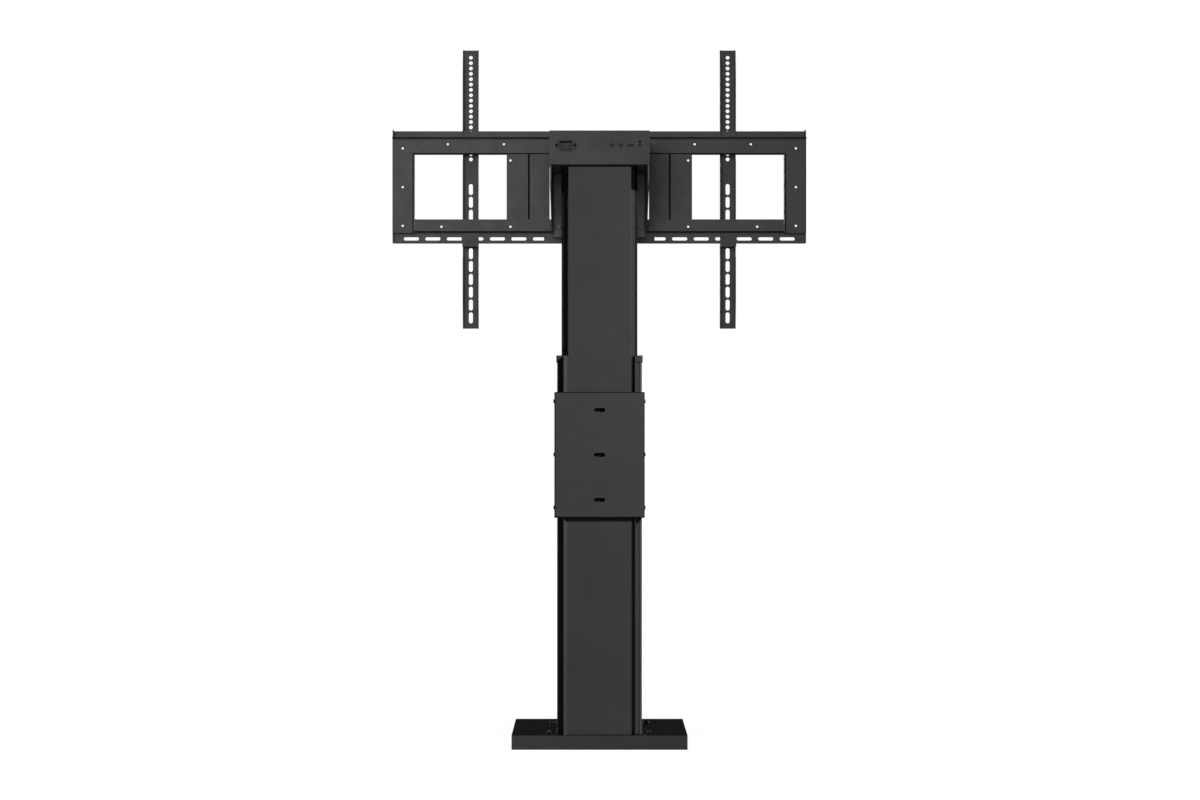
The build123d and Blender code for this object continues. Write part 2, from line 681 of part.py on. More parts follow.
def bracket_screws():
    """Pan head screws through the bracket's cheeks into the column."""
    screws = []
    for z in bracket_screw_heights():
        tip = WING_CAVITY_HALF
        shank = rod_across(tip, BRACKET_HALF, BRACKET_SCREW_DEPTH, z, BRACKET_SCREW_DIAMETER)
        head = rod_across(
            BRACKET_HALF, BRACKET_HALF + BRACKET_SCREW_HEAD_HEIGHT,
            BRACKET_SCREW_DEPTH, z, BRACKET_SCREW_HEAD,
        )
        head = fillet(head.edges().group_by(Axis.X)[-1], BRACKET_SCREW_HEAD_HEIGHT / 3)
        screws.append(both_sides(shank + head))
    return group(screws)


def bracket_spacers():
    """Rings that fill the space between the column and the bracket's cheeks."""
    rings = []
    for z in bracket_screw_heights():
        far = BRACKET_HALF - BRACKET_SHEET
        ring = rod_across(LOWER_WING_HALF, far, BRACKET_SCREW_DEPTH, z, SPACER_DIAMETER)
        bore = rod_across(
            LOWER_WING_HALF, far, BRACKET_SCREW_DEPTH, z, BRACKET_SCREW_DIAMETER + SCREW_GAP
        )
        rings.append(both_sides(ring - bore))
    return group(rings)


def push_tube():
    """Steel tube on a flange that carries the spindle nut."""
    low = BASE_HEIGHT
    tube_top = NUT_TOP - NUT_FLANGE
    tube = upright_rod(0, MIDDLE_Y, low, tube_top, TUBE_DIAMETER)
    flange = upright_rod(0, MIDDLE_Y, low, low + TUBE_FLANGE_THICKNESS, TUBE_FLANGE_DIAMETER)
    bore = upright_rod(0, MIDDLE_Y, low, tube_top, TUBE_DIAMETER - 2 * TUBE_WALL)
    tube = tube + flange - bore
    for x, y in tube_screw_places():
        tube -= upright_rod(x, y, low, low + TUBE_FLANGE_THICKNESS, TUBE_SCREW_DIAMETER + SCREW_GAP)
    return tube


def tube_screws():
    """Four screws through the push tube's flange."""
    seat = BASE_HEIGHT + TUBE_FLANGE_THICKNESS
    screws = []
    for x, y in tube_screw_places():
        shank = upright_rod(x, y, BASE_HEIGHT - TUBE_SCREW_GRIP, seat, TUBE_SCREW_DIAMETER)
        head = upright_rod(x, y, seat, seat + TUBE_SCREW_HEAD_HEIGHT, TUBE_SCREW_HEAD)
        screws.append(shank + head)
    return group(screws)


def spindle_nut():
    """Flanged nut at the top of the push tube."""
    body = upright_rod(0, MIDDLE_Y, NUT_TOP - NUT_LENGTH, NUT_TOP, TUBE_DIAMETER - 2 * TUBE_WALL)
    flange = upright_rod(0, MIDDLE_Y, NUT_TOP - NUT_FLANGE, NUT_TOP, TUBE_DIAMETER)
    bore = upright_rod(
        0, MIDDLE_Y, NUT_TOP - NUT_LENGTH, NUT_TOP, SPINDLE_DIAMETER + 2 * RUNNING_GAP
    )
    return body + flange - bore


def upper_column():
    """The extrusion that rises out of the lower column."""
    tube = plan_prism(upper_outline() - upper_outline(UPPER_WALL), UPPER_BOTTOM, UPPER_TOP)
    wall_half = UPPER_HALF_DEPTH - UPPER_WALL
    for hand in (-1, 1):
        for side in (-1, 1):
            x = hand * HEAD_SCREW_X
            y = MIDDLE_Y + side * (wall_half - BOSS_DIAMETER / 2 + UPPER_WALL / 2)
            tube += upright_rod(x, y, UPPER_TOP - HEAD_SCREW_LENGTH, UPPER_TOP, BOSS_DIAMETER)
            tube -= upright_rod(x, y, UPPER_TOP - HEAD_SCREW_LENGTH, UPPER_TOP, HEAD_SCREW_DIAMETER)
    return tube


def head_screw_places():
    """Middles of the screws from the head plate into the upper column."""
    wall_half = UPPER_HALF_DEPTH - UPPER_WALL
    reach = wall_half - BOSS_DIAMETER / 2 + UPPER_WALL / 2
    return [(hand * HEAD_SCREW_X, MIDDLE_Y + side * reach) for hand in (-1, 1) for side in (-1, 1)]


def glide_strip():
    """Plastic strip along the right wing of the upper column."""
    near = UPPER_LEDGE + STRIP_INSET
    far = 2 * COLUMN_MIDDLE - near
    return block(
        UPPER_WING_HALF, SLIDE_HALF, near, far, UPPER_BOTTOM + SHOE_HEIGHT + SEAT_GAP, HEAD_BOTTOM
    )


def glide_shoe():
    """Plastic shoe round the bottom of the right wing, running inside the lower column."""
    near = LOWER_LEDGE + LOWER_WALL + SLIDE_GAP
    far = 2 * COLUMN_MIDDLE - near
    shoe = block(
        UPPER_BLOCK_HALF + SEAT_GAP, WING_CAVITY_HALF - SLIDE_GAP, near, far,
        UPPER_BOTTOM, UPPER_BOTTOM + SHOE_HEIGHT,
    )
    shoe = fillet(shoe.edges().filter_by(Axis.Z).group_by(Axis.X)[-1], 2 * INSIDE_RADIUS)
    wing = plan_prism(upper_outline(), UPPER_BOTTOM, UPPER_BOTTOM + SHOE_HEIGHT)
    return shoe - wing


def head_plate():
    """Thick plate on top of the upper column that joins it to the carriage bracket."""
    plate = block(
        -CARRIAGE_INNER, CARRIAGE_INNER, UPPER_FACE, CARRIAGE_FACE, UPPER_TOP, HEAD_PLATE_TOP
    )
    plate = chamfer(plate.edges().filter_by(Axis.Z), HEAD_PLATE_CORNER)
    for x, y in head_screw_places():
        plate -= upright_rod(x, y, UPPER_TOP, HEAD_PLATE_TOP, HEAD_SCREW_DIAMETER + SCREW_GAP)
        seat = HEAD_PLATE_TOP - HEAD_SCREW_HEAD_HEIGHT
        plate -= upright_rod(x, y, seat, HEAD_PLATE_TOP, HEAD_SCREW_HEAD + SCREW_GAP)
    for screw in plate_side_screw_shapes():
        plate -= screw
    return plate


def head_screws():
    """Cap screws sunk in the head plate."""
    seat = HEAD_PLATE_TOP - HEAD_SCREW_HEAD_HEIGHT
    tip = UPPER_TOP - HEAD_SCREW_LENGTH + HEAD_SCREW_HEAD_HEIGHT
    screws = []
    for x, y in head_screw_places():
        shank = upright_rod(x, y, tip, seat, HEAD_SCREW_DIAMETER)
        head = upright_rod(x, y, seat, HEAD_PLATE_TOP, HEAD_SCREW_HEAD)
        screws.append(shank + head)
    return group(screws)


def plate_side_screw_shapes():
    """Countersunk screws through the bracket's cheeks into the head plate's edges."""
    cone = countersunk_cone(SIDE_SCREW_HEAD, SIDE_SCREW_DIAMETER)
    z = (UPPER_TOP + HEAD_PLATE_TOP) / 2
    screws = []
    for depth in PLATE_SCREW_DEPTHS:
        tip = CARRIAGE_INNER - SIDE_SCREW_GRIP
        shank = rod_across(tip, CARRIAGE_HALF, depth, z, SIDE_SCREW_DIAMETER)
        place = Pos(CARRIAGE_HALF - cone / 2, wall_depth(depth), z)
        head = place * Rot(0, 90, 0) * Cone(SIDE_SCREW_DIAMETER / 2, SIDE_SCREW_HEAD / 2, cone)
        screw = shank + head
        screws.extend([screw, mirrored(screw)])
    return screws


def motor_posts():
    """Four posts that hang the bearing block and the gearmotor from the head plate."""
    low = BLOCK_BOTTOM + BLOCK_HEIGHT
    places = [(hand * POST_X, side * POST_Y) for hand in (-1, 1) for side in (-1, 1)]
    return group([upright_rod(x, MIDDLE_Y + y, low, UPPER_TOP, POST_DIAMETER) for x, y in places])


def bearing_block():
    """Block that carries the spindle's bearing and the whole load."""
    outline = RectangleRounded(BLOCK_WIDTH, BLOCK_DEPTH, BLOCK_RADIUS)
    top = BLOCK_BOTTOM + BLOCK_HEIGHT
    body = plan_prism(outline, BLOCK_BOTTOM, top)
    body -= upright_rod(0, MIDDLE_Y, BLOCK_BOTTOM, top, JOURNAL_DIAMETER + 2 * SEAT_GAP)
    seat = BLOCK_BOTTOM + BEARING_LIP
    return body - upright_rod(0, MIDDLE_Y, seat, top, BEARING_DIAMETER)


def spindle_bearing():
    """Bearing ring between the block and the spindle's journal."""
    low = BLOCK_BOTTOM + BEARING_LIP
    ring = upright_rod(0, MIDDLE_Y, low, low + BEARING_WIDTH, BEARING_DIAMETER)
    bore = JOURNAL_DIAMETER + 2 * RUNNING_GAP
    return ring - upright_rod(0, MIDDLE_Y, low, low + BEARING_WIDTH, bore)


def gearbox():
    """Round planetary gearbox on a flange that the posts pass through."""
    body = upright_rod(
        0, MIDDLE_Y, GEARBOX_BOTTOM, GEARBOX_BOTTOM + GEARBOX_LENGTH, GEARBOX_DIAMETER
    )
    outline = RectangleRounded(BLOCK_WIDTH, BLOCK_DEPTH, BLOCK_RADIUS)
    flange = plan_prism(outline, GEARBOX_BOTTOM, GEARBOX_BOTTOM + GEARBOX_FLANGE)
    for hand in (-1, 1):
        for side in (-1, 1):
            flange -= upright_rod(
                hand * POST_X, MIDDLE_Y + side * POST_Y,
                GEARBOX_BOTTOM, GEARBOX_BOTTOM + GEARBOX_FLANGE, POST_DIAMETER,
            )
    mouth = upright_rod(
        0, MIDDLE_Y, GEARBOX_BOTTOM, GEARBOX_BOTTOM + OUTPUT_ENTRY + SEAT_GAP,
        OUTPUT_DIAMETER + 2 * RUNNING_GAP,
    )
    return body + flange - mouth


def motor():
    """Motor can with a smaller end cap."""
    low = GEARBOX_BOTTOM + GEARBOX_LENGTH
    can = upright_rod(0, MIDDLE_Y, low, low + MOTOR_LENGTH - MOTOR_CAP, MOTOR_DIAMETER)
    cap = upright_rod(
        0, MIDDLE_Y, low + MOTOR_LENGTH - MOTOR_CAP, low + MOTOR_LENGTH, MOTOR_CAP_DIAMETER
    )
    return can + cap


def spindle():
    """Lead screw with a thinner journal through the bearing."""
    screw = upright_rod(0, MIDDLE_Y, SPINDLE_BOTTOM, BLOCK_BOTTOM - SEAT_GAP, SPINDLE_DIAMETER)
    journal_top = BLOCK_BOTTOM + BLOCK_HEIGHT + COUPLING_HEIGHT / 2
    journal = upright_rod(
        0, MIDDLE_Y, BLOCK_BOTTOM - SEAT_GAP, journal_top, JOURNAL_DIAMETER
    )
    return screw + journal


def spindle_coupling():
    """Sleeve on the spindle's journal, with the stub shaft that enters the gearbox."""
    low = BLOCK_BOTTOM + BLOCK_HEIGHT + SEAT_GAP
    top = low + COUPLING_HEIGHT
    journal_top = BLOCK_BOTTOM + BLOCK_HEIGHT + COUPLING_HEIGHT / 2
    sleeve = upright_rod(0, MIDDLE_Y, low, top, COUPLING_DIAMETER)
    sleeve -= upright_rod(0, MIDDLE_Y, low, journal_top, JOURNAL_DIAMETER)
    return sleeve + upright_rod(0, MIDDLE_Y, top, GEARBOX_BOTTOM + OUTPUT_ENTRY, OUTPUT_DIAMETER)


def carriage_bracket():
    """Folded bracket: a web behind the columns and two cheeks with a slanted lower edge."""
    web = block(
        -CARRIAGE_HALF, CARRIAGE_HALF, CARRIAGE_FACE, SHEET_FACE, CARRIAGE_BOTTOM, CARRIAGE_TOP
    )
    web = fillet(web.edges().filter_by(Axis.Y).group_by(Axis.Z)[0], CARRIAGE_CORNER)
    cheek = side_sheet(
        [
            (SHEET_FACE, CARRIAGE_HEEL),
            (SHEET_FACE, CARRIAGE_TOP),
            (CARRIAGE_REAR, CARRIAGE_TOP),
            (CARRIAGE_REAR, CARRIAGE_KNEE),
            (CARRIAGE_FACE, CARRIAGE_HEEL),
        ],
        CARRIAGE_INNER, CARRIAGE_SHEET,
    )
    knee = cheek.edges().filter_by(Axis.X).filter_by_position(
        Axis.Y, wall_depth(CARRIAGE_REAR) - CUT_OVERRUN, wall_depth(CARRIAGE_REAR) + CUT_OVERRUN
    ).group_by(Axis.Z)[0]
    cheek = fillet(knee, CARRIAGE_KNEE_RADIUS)
    bracket = web + cheek + mirrored(cheek)
    bend = fillet_strip(CARRIAGE_INNER, CARRIAGE_FACE, CARRIAGE_HEEL, CARRIAGE_TOP, CARRIAGE_BEND)
    bracket = bracket + bend + mirrored(bend)
    for screw in plate_side_screw_shapes():
        bracket -= screw
    reach = SHEET_FACE + CUT_OVERRUN
    for z in CARRIAGE_SCREW_ROWS:
        for hand in (-1, 1):
            bracket -= rod_through(
                hand * CARRIAGE_SCREW_X, CARRIAGE_FACE - CUT_OVERRUN, reach, z,
                CARRIAGE_SCREW_DIAMETER + SCREW_GAP,
            )
    return bracket


def fillet_strip(x, depth, low_z, high_z, radius):
    """The rounded inside of a bend, between a web at a depth and a cheek at an X value."""
    square = block(x - radius, x, depth - radius, depth, low_z, high_z)
    y = wall_depth(depth - radius)
    return square - upright_rod(x - radius, y, low_z, high_z, 2 * radius)


def carriage_screws():
    """Flanged screws through the carriage bracket and the frame."""
    screws = []
    for z in CARRIAGE_SCREW_ROWS:
        x = CARRIAGE_SCREW_X
        tip = SHEET_BACK + CARRIAGE_NUT_HEIGHT + CARRIAGE_SHEET / 2
        shank = rod_through(x, CARRIAGE_FACE, tip, z, CARRIAGE_SCREW_DIAMETER)
        near = CARRIAGE_FACE - CARRIAGE_SCREW_HEAD_HEIGHT
        head = rod_through(x, near, CARRIAGE_FACE, z, CARRIAGE_SCREW_HEAD)
        head = fillet(head.edges().group_by(Axis.Y)[0], CARRIAGE_SCREW_HEAD_HEIGHT / 3)
        screws.append(both_sides(shank + head))
    return group(screws)


def carriage_nuts():
    """Nuts behind the frame."""
    nuts = []
    for z in CARRIAGE_SCREW_ROWS:
        far = SHEET_BACK + CARRIAGE_NUT_HEIGHT
        nut = hexagon_through(CARRIAGE_SCREW_X, SHEET_BACK, far, z, CARRIAGE_SCREW_HEAD)
        nut -= rod_through(CARRIAGE_SCREW_X, SHEET_BACK, far, z, CARRIAGE_SCREW_DIAMETER)
        nuts.append(both_sides(nut))
    return group(nuts)


def socket_cutouts(reach):
    """Every opening in the rear wall of the housing, as cutters this much larger all round."""
    near = HOUSING_REAR - CUT_OVERRUN
    far = HOUSING_REAR + HOUSING_SHEET + CUT_OVERRUN
    inlet = Pos(INLET_X, SOCKET_Z) * inlet_outline(reach)
    cuts = [front_sheet(inlet, near, far - near)]
    for hand in (-1, 1):
        x = INLET_X + hand * INLET_SCREW_PITCH / 2
        cuts.append(rod_through(x, near, far, SOCKET_Z, INLET_SCREW_DIAMETER + 2 * reach))
    for x in ROUND_SOCKET_X:
        cuts.append(rod_through(x, near, far, SOCKET_Z, ROUND_SOCKET_DIAMETER + 2 * reach))
    port = Rectangle(FLAT_PORT_WIDTH + 2 * reach, FLAT_PORT_HEIGHT + 2 * reach)
    cuts.append(front_sheet(Pos(FLAT_PORT_X, SOCKET_Z) * port, near, far - near))
    cuts.append(rod_through(JACK_X, near, far, SOCKET_Z, JACK_DIAMETER + 2 * reach))
    lamp_z = SOCKET_Z + LAMP_RISE
    cuts.append(rod_through(JACK_X, near, far, lamp_z, LAMP_DIAMETER + 2 * reach))
    return cuts


def control_housing():
    """Folded housing round the head, open below and towards the display."""
    outer = block(
        -HOUSING_HALF, HOUSING_HALF, HOUSING_REAR, CARRIAGE_FACE - SEAT_GAP, HEAD_BOTTOM, HOUSING_TOP
    )
    outer = fillet(outer.edges().group_by(Axis.Y)[0], HOUSING_EDGE)
    inner_half = HOUSING_HALF - HOUSING_SHEET
    hollow = block(
        -inner_half, inner_half, HOUSING_REAR + HOUSING_SHEET, CARRIAGE_FACE + CUT_OVERRUN,
        HEAD_BOTTOM - CUT_OVERRUN, HOUSING_TOP - HOUSING_SHEET,
    )
    housing = outer - hollow
    for cut in socket_cutouts(SEAT_GAP / 2):
        housing -= cut
    return housing


def housing_floor():
    """Plate that closes the housing from below, cut out round the upper column."""
    half = CARRIAGE_INNER - FLOOR_GAP
    near = HOUSING_REAR + HOUSING_SHEET + FLOOR_GAP / 2
    plate = block(-half, half, near, CARRIAGE_FACE - CARRIAGE_BEND, HEAD_BOTTOM, HEAD_BOTTOM + HOUSING_FLOOR)
    top = HEAD_BOTTOM + HOUSING_FLOOR
    hole = plan_prism(offset(upper_outline(), FLOOR_GAP / 2), HEAD_BOTTOM, top)
    near_hang = UPPER_TOP
    plate -= hole
    for hand in (-1, 1):
        x = hand * (half - STANDOFF_DIAMETER)
        for depth in (PLATE_SCREW_DEPTHS[0], PLATE_SCREW_DEPTHS[-1]):
            plate += upright_rod(x, wall_depth(depth), top, near_hang, STANDOFF_DIAMETER)
    return plate


def inlet_outline(reach=0.0):
    """The inlet's outline: a rectangle with its two lower corners cut off."""
    half_width = INLET_WIDTH / 2 + reach
    half_height = INLET_HEIGHT / 2 + reach
    cut = INLET_CORNER
    return make_face(
        Polyline(
            (half_width, half_height), (-half_width, half_height),
            (-half_width, cut - half_height), (cut - half_width, -half_height),
            (half_width - cut, -half_height), (half_width, cut - half_height),
            close=True,
        )
    )


def inlet_flange():
    """The inlet's screw flange: a lozenge that tapers from the plug well to an ear each side."""
    ears = [Pos(hand * INLET_SCREW_PITCH / 2, 0) * Circle(INLET_EAR_DIAMETER / 2) for hand in (-1, 1)]
    middle = inlet_outline(INLET_FLANGE_MARGIN)
    return make_hull([*ears[0].edges(), *ears[1].edges(), *middle.edges()])


def mains_inlet():
    """Appliance inlet with three flat pins, screwed on the rear of the housing."""
    front = HOUSING_REAR - INLET_FLANGE_THICKNESS
    body = front_sheet(Pos(INLET_X, SOCKET_Z) * inlet_outline(), front, INLET_DEPTH)
    body += front_sheet(Pos(INLET_X, SOCKET_Z) * inlet_flange(), front, INLET_FLANGE_THICKNESS)
    recess = Pos(INLET_X, SOCKET_Z) * inlet_outline(-INLET_WALL)
    body -= front_sheet(recess, front, INLET_RECESS)
    for step in (-1, 0, 1):
        x = INLET_X + step * PIN_PITCH
        z = SOCKET_Z + (-PIN_DROP if step == 0 else PIN_DROP)
        far = front + INLET_RECESS
        body += block(
            x - PIN_WIDTH / 2, x + PIN_WIDTH / 2, far - PIN_LENGTH, far,
            z - PIN_HEIGHT / 2, z + PIN_HEIGHT / 2,
        )
    for hand in (-1, 1):
        x = INLET_X + hand * INLET_SCREW_PITCH / 2
        body -= rod_through(x, front, HOUSING_REAR, SOCKET_Z, INLET_SCREW_DIAMETER)
    return body


def inlet_screws():
    """Two screws that hold the inlet to the housing's rear wall."""
    screws = []
    for hand in (-1, 1):
        x = INLET_X + hand * INLET_SCREW_PITCH / 2
        seat = HOUSING_REAR - INLET_FLANGE_THICKNESS
        head = rod_through(x, seat - INLET_SCREW_HEAD_HEIGHT, seat, SOCKET_Z, INLET_SCREW_HEAD)
        far = HOUSING_REAR + INLET_SCREW_GRIP
        shank = rod_through(x, seat, far, SOCKET_Z, INLET_SCREW_DIAMETER)
        screws.append(head + shank)
    return group(screws)


def round_sockets():
    """Two round control sockets with a key rib."""
    sockets = []
    for x in ROUND_SOCKET_X:
        far = HOUSING_REAR + ROUND_SOCKET_DEPTH
        body = rod_through(x, HOUSING_REAR, far, SOCKET_Z, ROUND_SOCKET_DIAMETER)
        back = HOUSING_REAR + ROUND_SOCKET_RECESS
        body -= rod_through(x, HOUSING_REAR, back, SOCKET_Z, ROUND_SOCKET_BORE)
        half = ROUND_SOCKET_KEY / 2
        body += block(x - half, x + half, HOUSING_REAR + half, back, SOCKET_Z - half, SOCKET_Z + half)
        sockets.append(body)
    return group(sockets)


def flat_port():
    """Flat port with a contact tongue."""
    far = HOUSING_REAR + FLAT_PORT_DEPTH
    shell = front_sheet(
        Pos(FLAT_PORT_X, SOCKET_Z) * Rectangle(FLAT_PORT_WIDTH, FLAT_PORT_HEIGHT),
        HOUSING_REAR, far - HOUSING_REAR,
    )
    inside = Rectangle(FLAT_PORT_WIDTH - 2 * FLAT_PORT_WALL, FLAT_PORT_HEIGHT - 2 * FLAT_PORT_WALL)
    shell -= front_sheet(Pos(FLAT_PORT_X, SOCKET_Z) * inside, HOUSING_REAR, FLAT_PORT_RECESS)
    tongue_half = FLAT_PORT_WIDTH / 2 - 2 * FLAT_PORT_WALL
    return shell + block(
        FLAT_PORT_X - tongue_half, FLAT_PORT_X + tongue_half,
        HOUSING_REAR + FLAT_PORT_TONGUE, HOUSING_REAR + FLAT_PORT_RECESS,
        SOCKET_Z - FLAT_PORT_TONGUE / 2, SOCKET_Z + FLAT_PORT_TONGUE / 2,
    )


def jack_socket():
    """Small round jack."""
    far = HOUSING_REAR + JACK_DEPTH
    body = rod_through(JACK_X, HOUSING_REAR, far, SOCKET_Z, JACK_DIAMETER)
    return body - rod_through(
        JACK_X, HOUSING_REAR, HOUSING_REAR + JACK_RECESS, SOCKET_Z, JACK_BORE
    )


def status_lamp():
    """Small lamp above the jack."""
    far = HOUSING_REAR + LAMP_DEPTH
    return rod_through(JACK_X, HOUSING_REAR, far, SOCKET_Z + LAMP_RISE, LAMP_DIAMETER)


def control_board():
    """Circuit board on four standoffs above the head plate."""
    low = HEAD_PLATE_TOP + BOARD_STANDOFF
    far = BOARD_REAR + BOARD_DEPTH
    half = BOARD_WIDTH / 2
    board = block(-half, half, BOARD_REAR, far, low, low + BOARD_THICKNESS)
    for hand in (-1, 1):
        for depth in (BOARD_REAR + STANDOFF_INSET, far - STANDOFF_INSET):
            x = hand * (half - STANDOFF_INSET)
            board += upright_rod(x, wall_depth(depth), HEAD_PLATE_TOP, low, STANDOFF_DIAMETER)
    return board


def power_supply():
    """Power supply on the head plate."""
    half = SUPPLY_WIDTH / 2
    far = SUPPLY_REAR + SUPPLY_DEPTH
    supply = block(-half, half, SUPPLY_REAR, far, HEAD_PLATE_TOP, HEAD_PLATE_TOP + SUPPLY_HEIGHT)
    return fillet(supply.edges().group_by(Axis.Z)[-1], SUPPLY_RADIUS)


def panel_holes(places):
    """Round holes for a front outline."""
    return [Pos(x, z) * Circle(PANEL_HOLE / 2) for x, z in places]


def carriage_hole_places():
    """Where the carriage screws pass through the frame."""
    return [(hand * CARRIAGE_SCREW_X, z) for hand in (-1, 1) for z in CARRIAGE_SCREW_ROWS]


def upper_sheet():
    """Upper frame sheet: the top band and both end bands, with folded edges."""
    outline = panel(-FRAME_HALF, FRAME_HALF, WINDOW_TOP, UPPER_SHEET_TOP)
    end_band = panel(END_BAND_INNER, FRAME_HALF, END_BAND_BOTTOM, UPPER_SHEET_TOP)
    outline += end_band
    outline += mirror(end_band, about=Plane.YZ)
    places = []
    for hand in (-1, 1):
        places += [(hand * x, BAND_HOLE_Z) for x in BAND_HOLE_X]
        steps = range(END_HOLE_COUNT)
        places += [(hand * END_HOLE_X, END_HOLE_TOP - END_HOLE_PITCH * step) for step in steps]
    for hole in panel_holes(places):
        outline -= hole
    for x, z in carriage_hole_places():
        outline -= Pos(x, z) * Circle((CARRIAGE_SCREW_DIAMETER + SCREW_GAP) / 2)
    sheet = front_sheet(outline, SHEET_FACE, SHEET)
    shelf = block(
        -FRAME_HALF, FRAME_HALF, FLANGE_FRONT, SHEET_FACE, UPPER_SHEET_TOP - SHEET, UPPER_SHEET_TOP
    )
    edge = block(
        -END_BAND_INNER, END_BAND_INNER, SHEET_FACE, SHEET_BACK + RETURN_DEPTH,
        WINDOW_TOP, WINDOW_TOP + SHEET,
    )
    for hand in (-1, 1):
        ends = sorted((hand * (UPRIGHT_INNER - SEAT_GAP), hand * (UPRIGHT_OUTER + SEAT_GAP)))
        edge -= block(
            ends[0], ends[1], SHEET_BACK, SHEET_BACK + RETURN_DEPTH + CUT_OVERRUN,
            WINDOW_TOP, WINDOW_TOP + SHEET,
        )
    side = side_return()
    return sheet + shelf + edge + side + mirrored(side)


def side_return():
    """Folded inner edge of the upper sheet's right end band."""
    return block(
        END_BAND_INNER - SHEET, END_BAND_INNER, SHEET_FACE, SHEET_BACK + RETURN_DEPTH,
        LOWER_SHEET_BOTTOM, WINDOW_TOP + SHEET,
    )


def lower_sheet():
    """Lower frame sheet: the bottom band with four upright strips."""
    half = END_BAND_INNER - SHEET - SEAM_GAP
    outline = panel(-half, half, LOWER_SHEET_BOTTOM, WINDOW_BOTTOM)
    top = WINDOW_TOP - STRIP_TOP_GAP
    for hand in (-1, 1):
        for inner, outer in ((STRAP_INNER, STRAP_OUTER), (STRIP_INNER, STRIP_OUTER)):
            ends = sorted((hand * inner, hand * outer))
            outline += panel(ends[0], ends[1], WINDOW_BOTTOM, top)
    places = []
    for hand in (-1, 1):
        places += [(hand * x, LOW_HOLE_Z) for x in LOW_HOLE_X]
        places.append((hand * STRIP_HOLE_X, STRIP_HOLE_Z))
    for hole in panel_holes(places):
        outline -= hole
    for x, z in carriage_hole_places():
        outline -= Pos(x, z) * Circle((CARRIAGE_SCREW_DIAMETER + SCREW_GAP) / 2)
    return front_sheet(outline, SHEET_FACE, SHEET)


def frame_upright():
    """U channel behind the slit between the right strip and strap, open towards the sheet."""
    low = LOWER_SHEET_BOTTOM + RAIL_LEG
    high = UPPER_SHEET_TOP - RAIL_SHEET - RAIL_LEG
    far = SHEET_BACK + UPRIGHT_DEPTH
    channel = block(UPRIGHT_INNER, UPRIGHT_OUTER, SHEET_BACK, far, low, high)
    return channel - block(
        UPRIGHT_INNER + RAIL_SHEET, UPRIGHT_OUTER - RAIL_SHEET,
        SHEET_BACK - CUT_OVERRUN, far - RAIL_SHEET, low - CUT_OVERRUN, high + CUT_OVERRUN,
    )


def hook_rail():
    """Folded rail whose upstanding lip carries the arms' hooks."""
    half = FRAME_HALF - RAIL_SHEET
    top = UPPER_SHEET_TOP
    corners = [
        (SHEET_BACK, top - RAIL_SHEET - RAIL_LEG),
        (SHEET_BACK, top),
        (LIP_FACE, top),
        (LIP_FACE, LIP_TOP),
        (HOOK_RAIL_BACK, LIP_TOP),
        (HOOK_RAIL_BACK, top - RAIL_SHEET),
        (SHEET_BACK + RAIL_SHEET, top - RAIL_SHEET),
        (SHEET_BACK + RAIL_SHEET, top - RAIL_SHEET - RAIL_LEG),
    ]
    return side_sheet(corners, -half, 2 * half)


def slot_rail():
    """Folded rail with a row of slots, which the arms rest against and lock to."""
    half = FRAME_HALF - RAIL_SHEET
    shelf = LOWER_SHEET_BOTTOM + RAIL_SHEET
    foot = FRAME_BOTTOM + RAIL_SHEET
    corners = [
        (SHEET_BACK, LOWER_SHEET_BOTTOM + RAIL_LEG),
        (SHEET_BACK, LOWER_SHEET_BOTTOM),
        (SLOT_WEB_FACE, LOWER_SHEET_BOTTOM),
        (SLOT_WEB_FACE, FRAME_BOTTOM),
        (HOOK_RAIL_BACK, FRAME_BOTTOM),
        (HOOK_RAIL_BACK, foot),
        (SLOT_WEB_FACE + RAIL_SHEET, foot),
        (SLOT_WEB_FACE + RAIL_SHEET, shelf),
        (SHEET_BACK + RAIL_SHEET, shelf),
        (SHEET_BACK + RAIL_SHEET, LOWER_SHEET_BOTTOM + RAIL_LEG),
    ]
    rail = side_sheet(corners, -half, 2 * half)
    rail -= offset_box(side_return())
    rail -= offset_box(mirrored(side_return()))
    notch_half = CARRIAGE_SCREW_HEAD / 2 + SHEET
    notch_low = CARRIAGE_SCREW_ROWS[0] - notch_half
    for hand in (-1, 1):
        x = hand * CARRIAGE_SCREW_X
        far = SHEET_BACK + RAIL_SHEET + CUT_OVERRUN
        top = LOWER_SHEET_BOTTOM + RAIL_LEG + CUT_OVERRUN
        rail -= block(x - notch_half, x + notch_half, SHEET_FACE, far, notch_low, top)
    slot = SlotOverall(RAIL_SLOT_LENGTH, RAIL_SLOT_WIDTH)
    for hand in (-1, 1):
        for step in range(RAIL_SLOT_COUNT):
            x = hand * (RAIL_SLOT_FIRST + RAIL_SLOT_PITCH * step)
            near = SLOT_WEB_FACE - CUT_OVERRUN
            thickness = RAIL_SHEET + 2 * CUT_OVERRUN
            rail -= front_sheet(Pos(x, RAIL_SLOT_Z) * slot, near, thickness)
    return rail


def offset_box(shape):
    """A block one seat gap larger all round than the given block."""
    size = shape.bounding_box()
    grown = Box(size.size.X + 2 * SEAT_GAP, size.size.Y + 2 * SEAT_GAP, size.size.Z + 2 * SEAT_GAP)
    return Pos(*size.center()) * grown


def rail_backing_plate():
    """Plate behind the middle of the slotted rail that stiffens it between the columns' sides."""
    near = SLOT_WEB_FACE + RAIL_SHEET
    low = FRAME_BOTTOM + RAIL_SHEET
    return block(
        -BACKING_HALF, BACKING_HALF, near, near + RAIL_SHEET, low, low + BACKING_HEIGHT
    )


def end_plate():
    """Plate that closes the right end of both rails."""
    return block(
        FRAME_HALF - RAIL_SHEET, FRAME_HALF, SHEET_BACK, HOOK_RAIL_BACK, FRAME_BOTTOM, LIP_TOP
    )


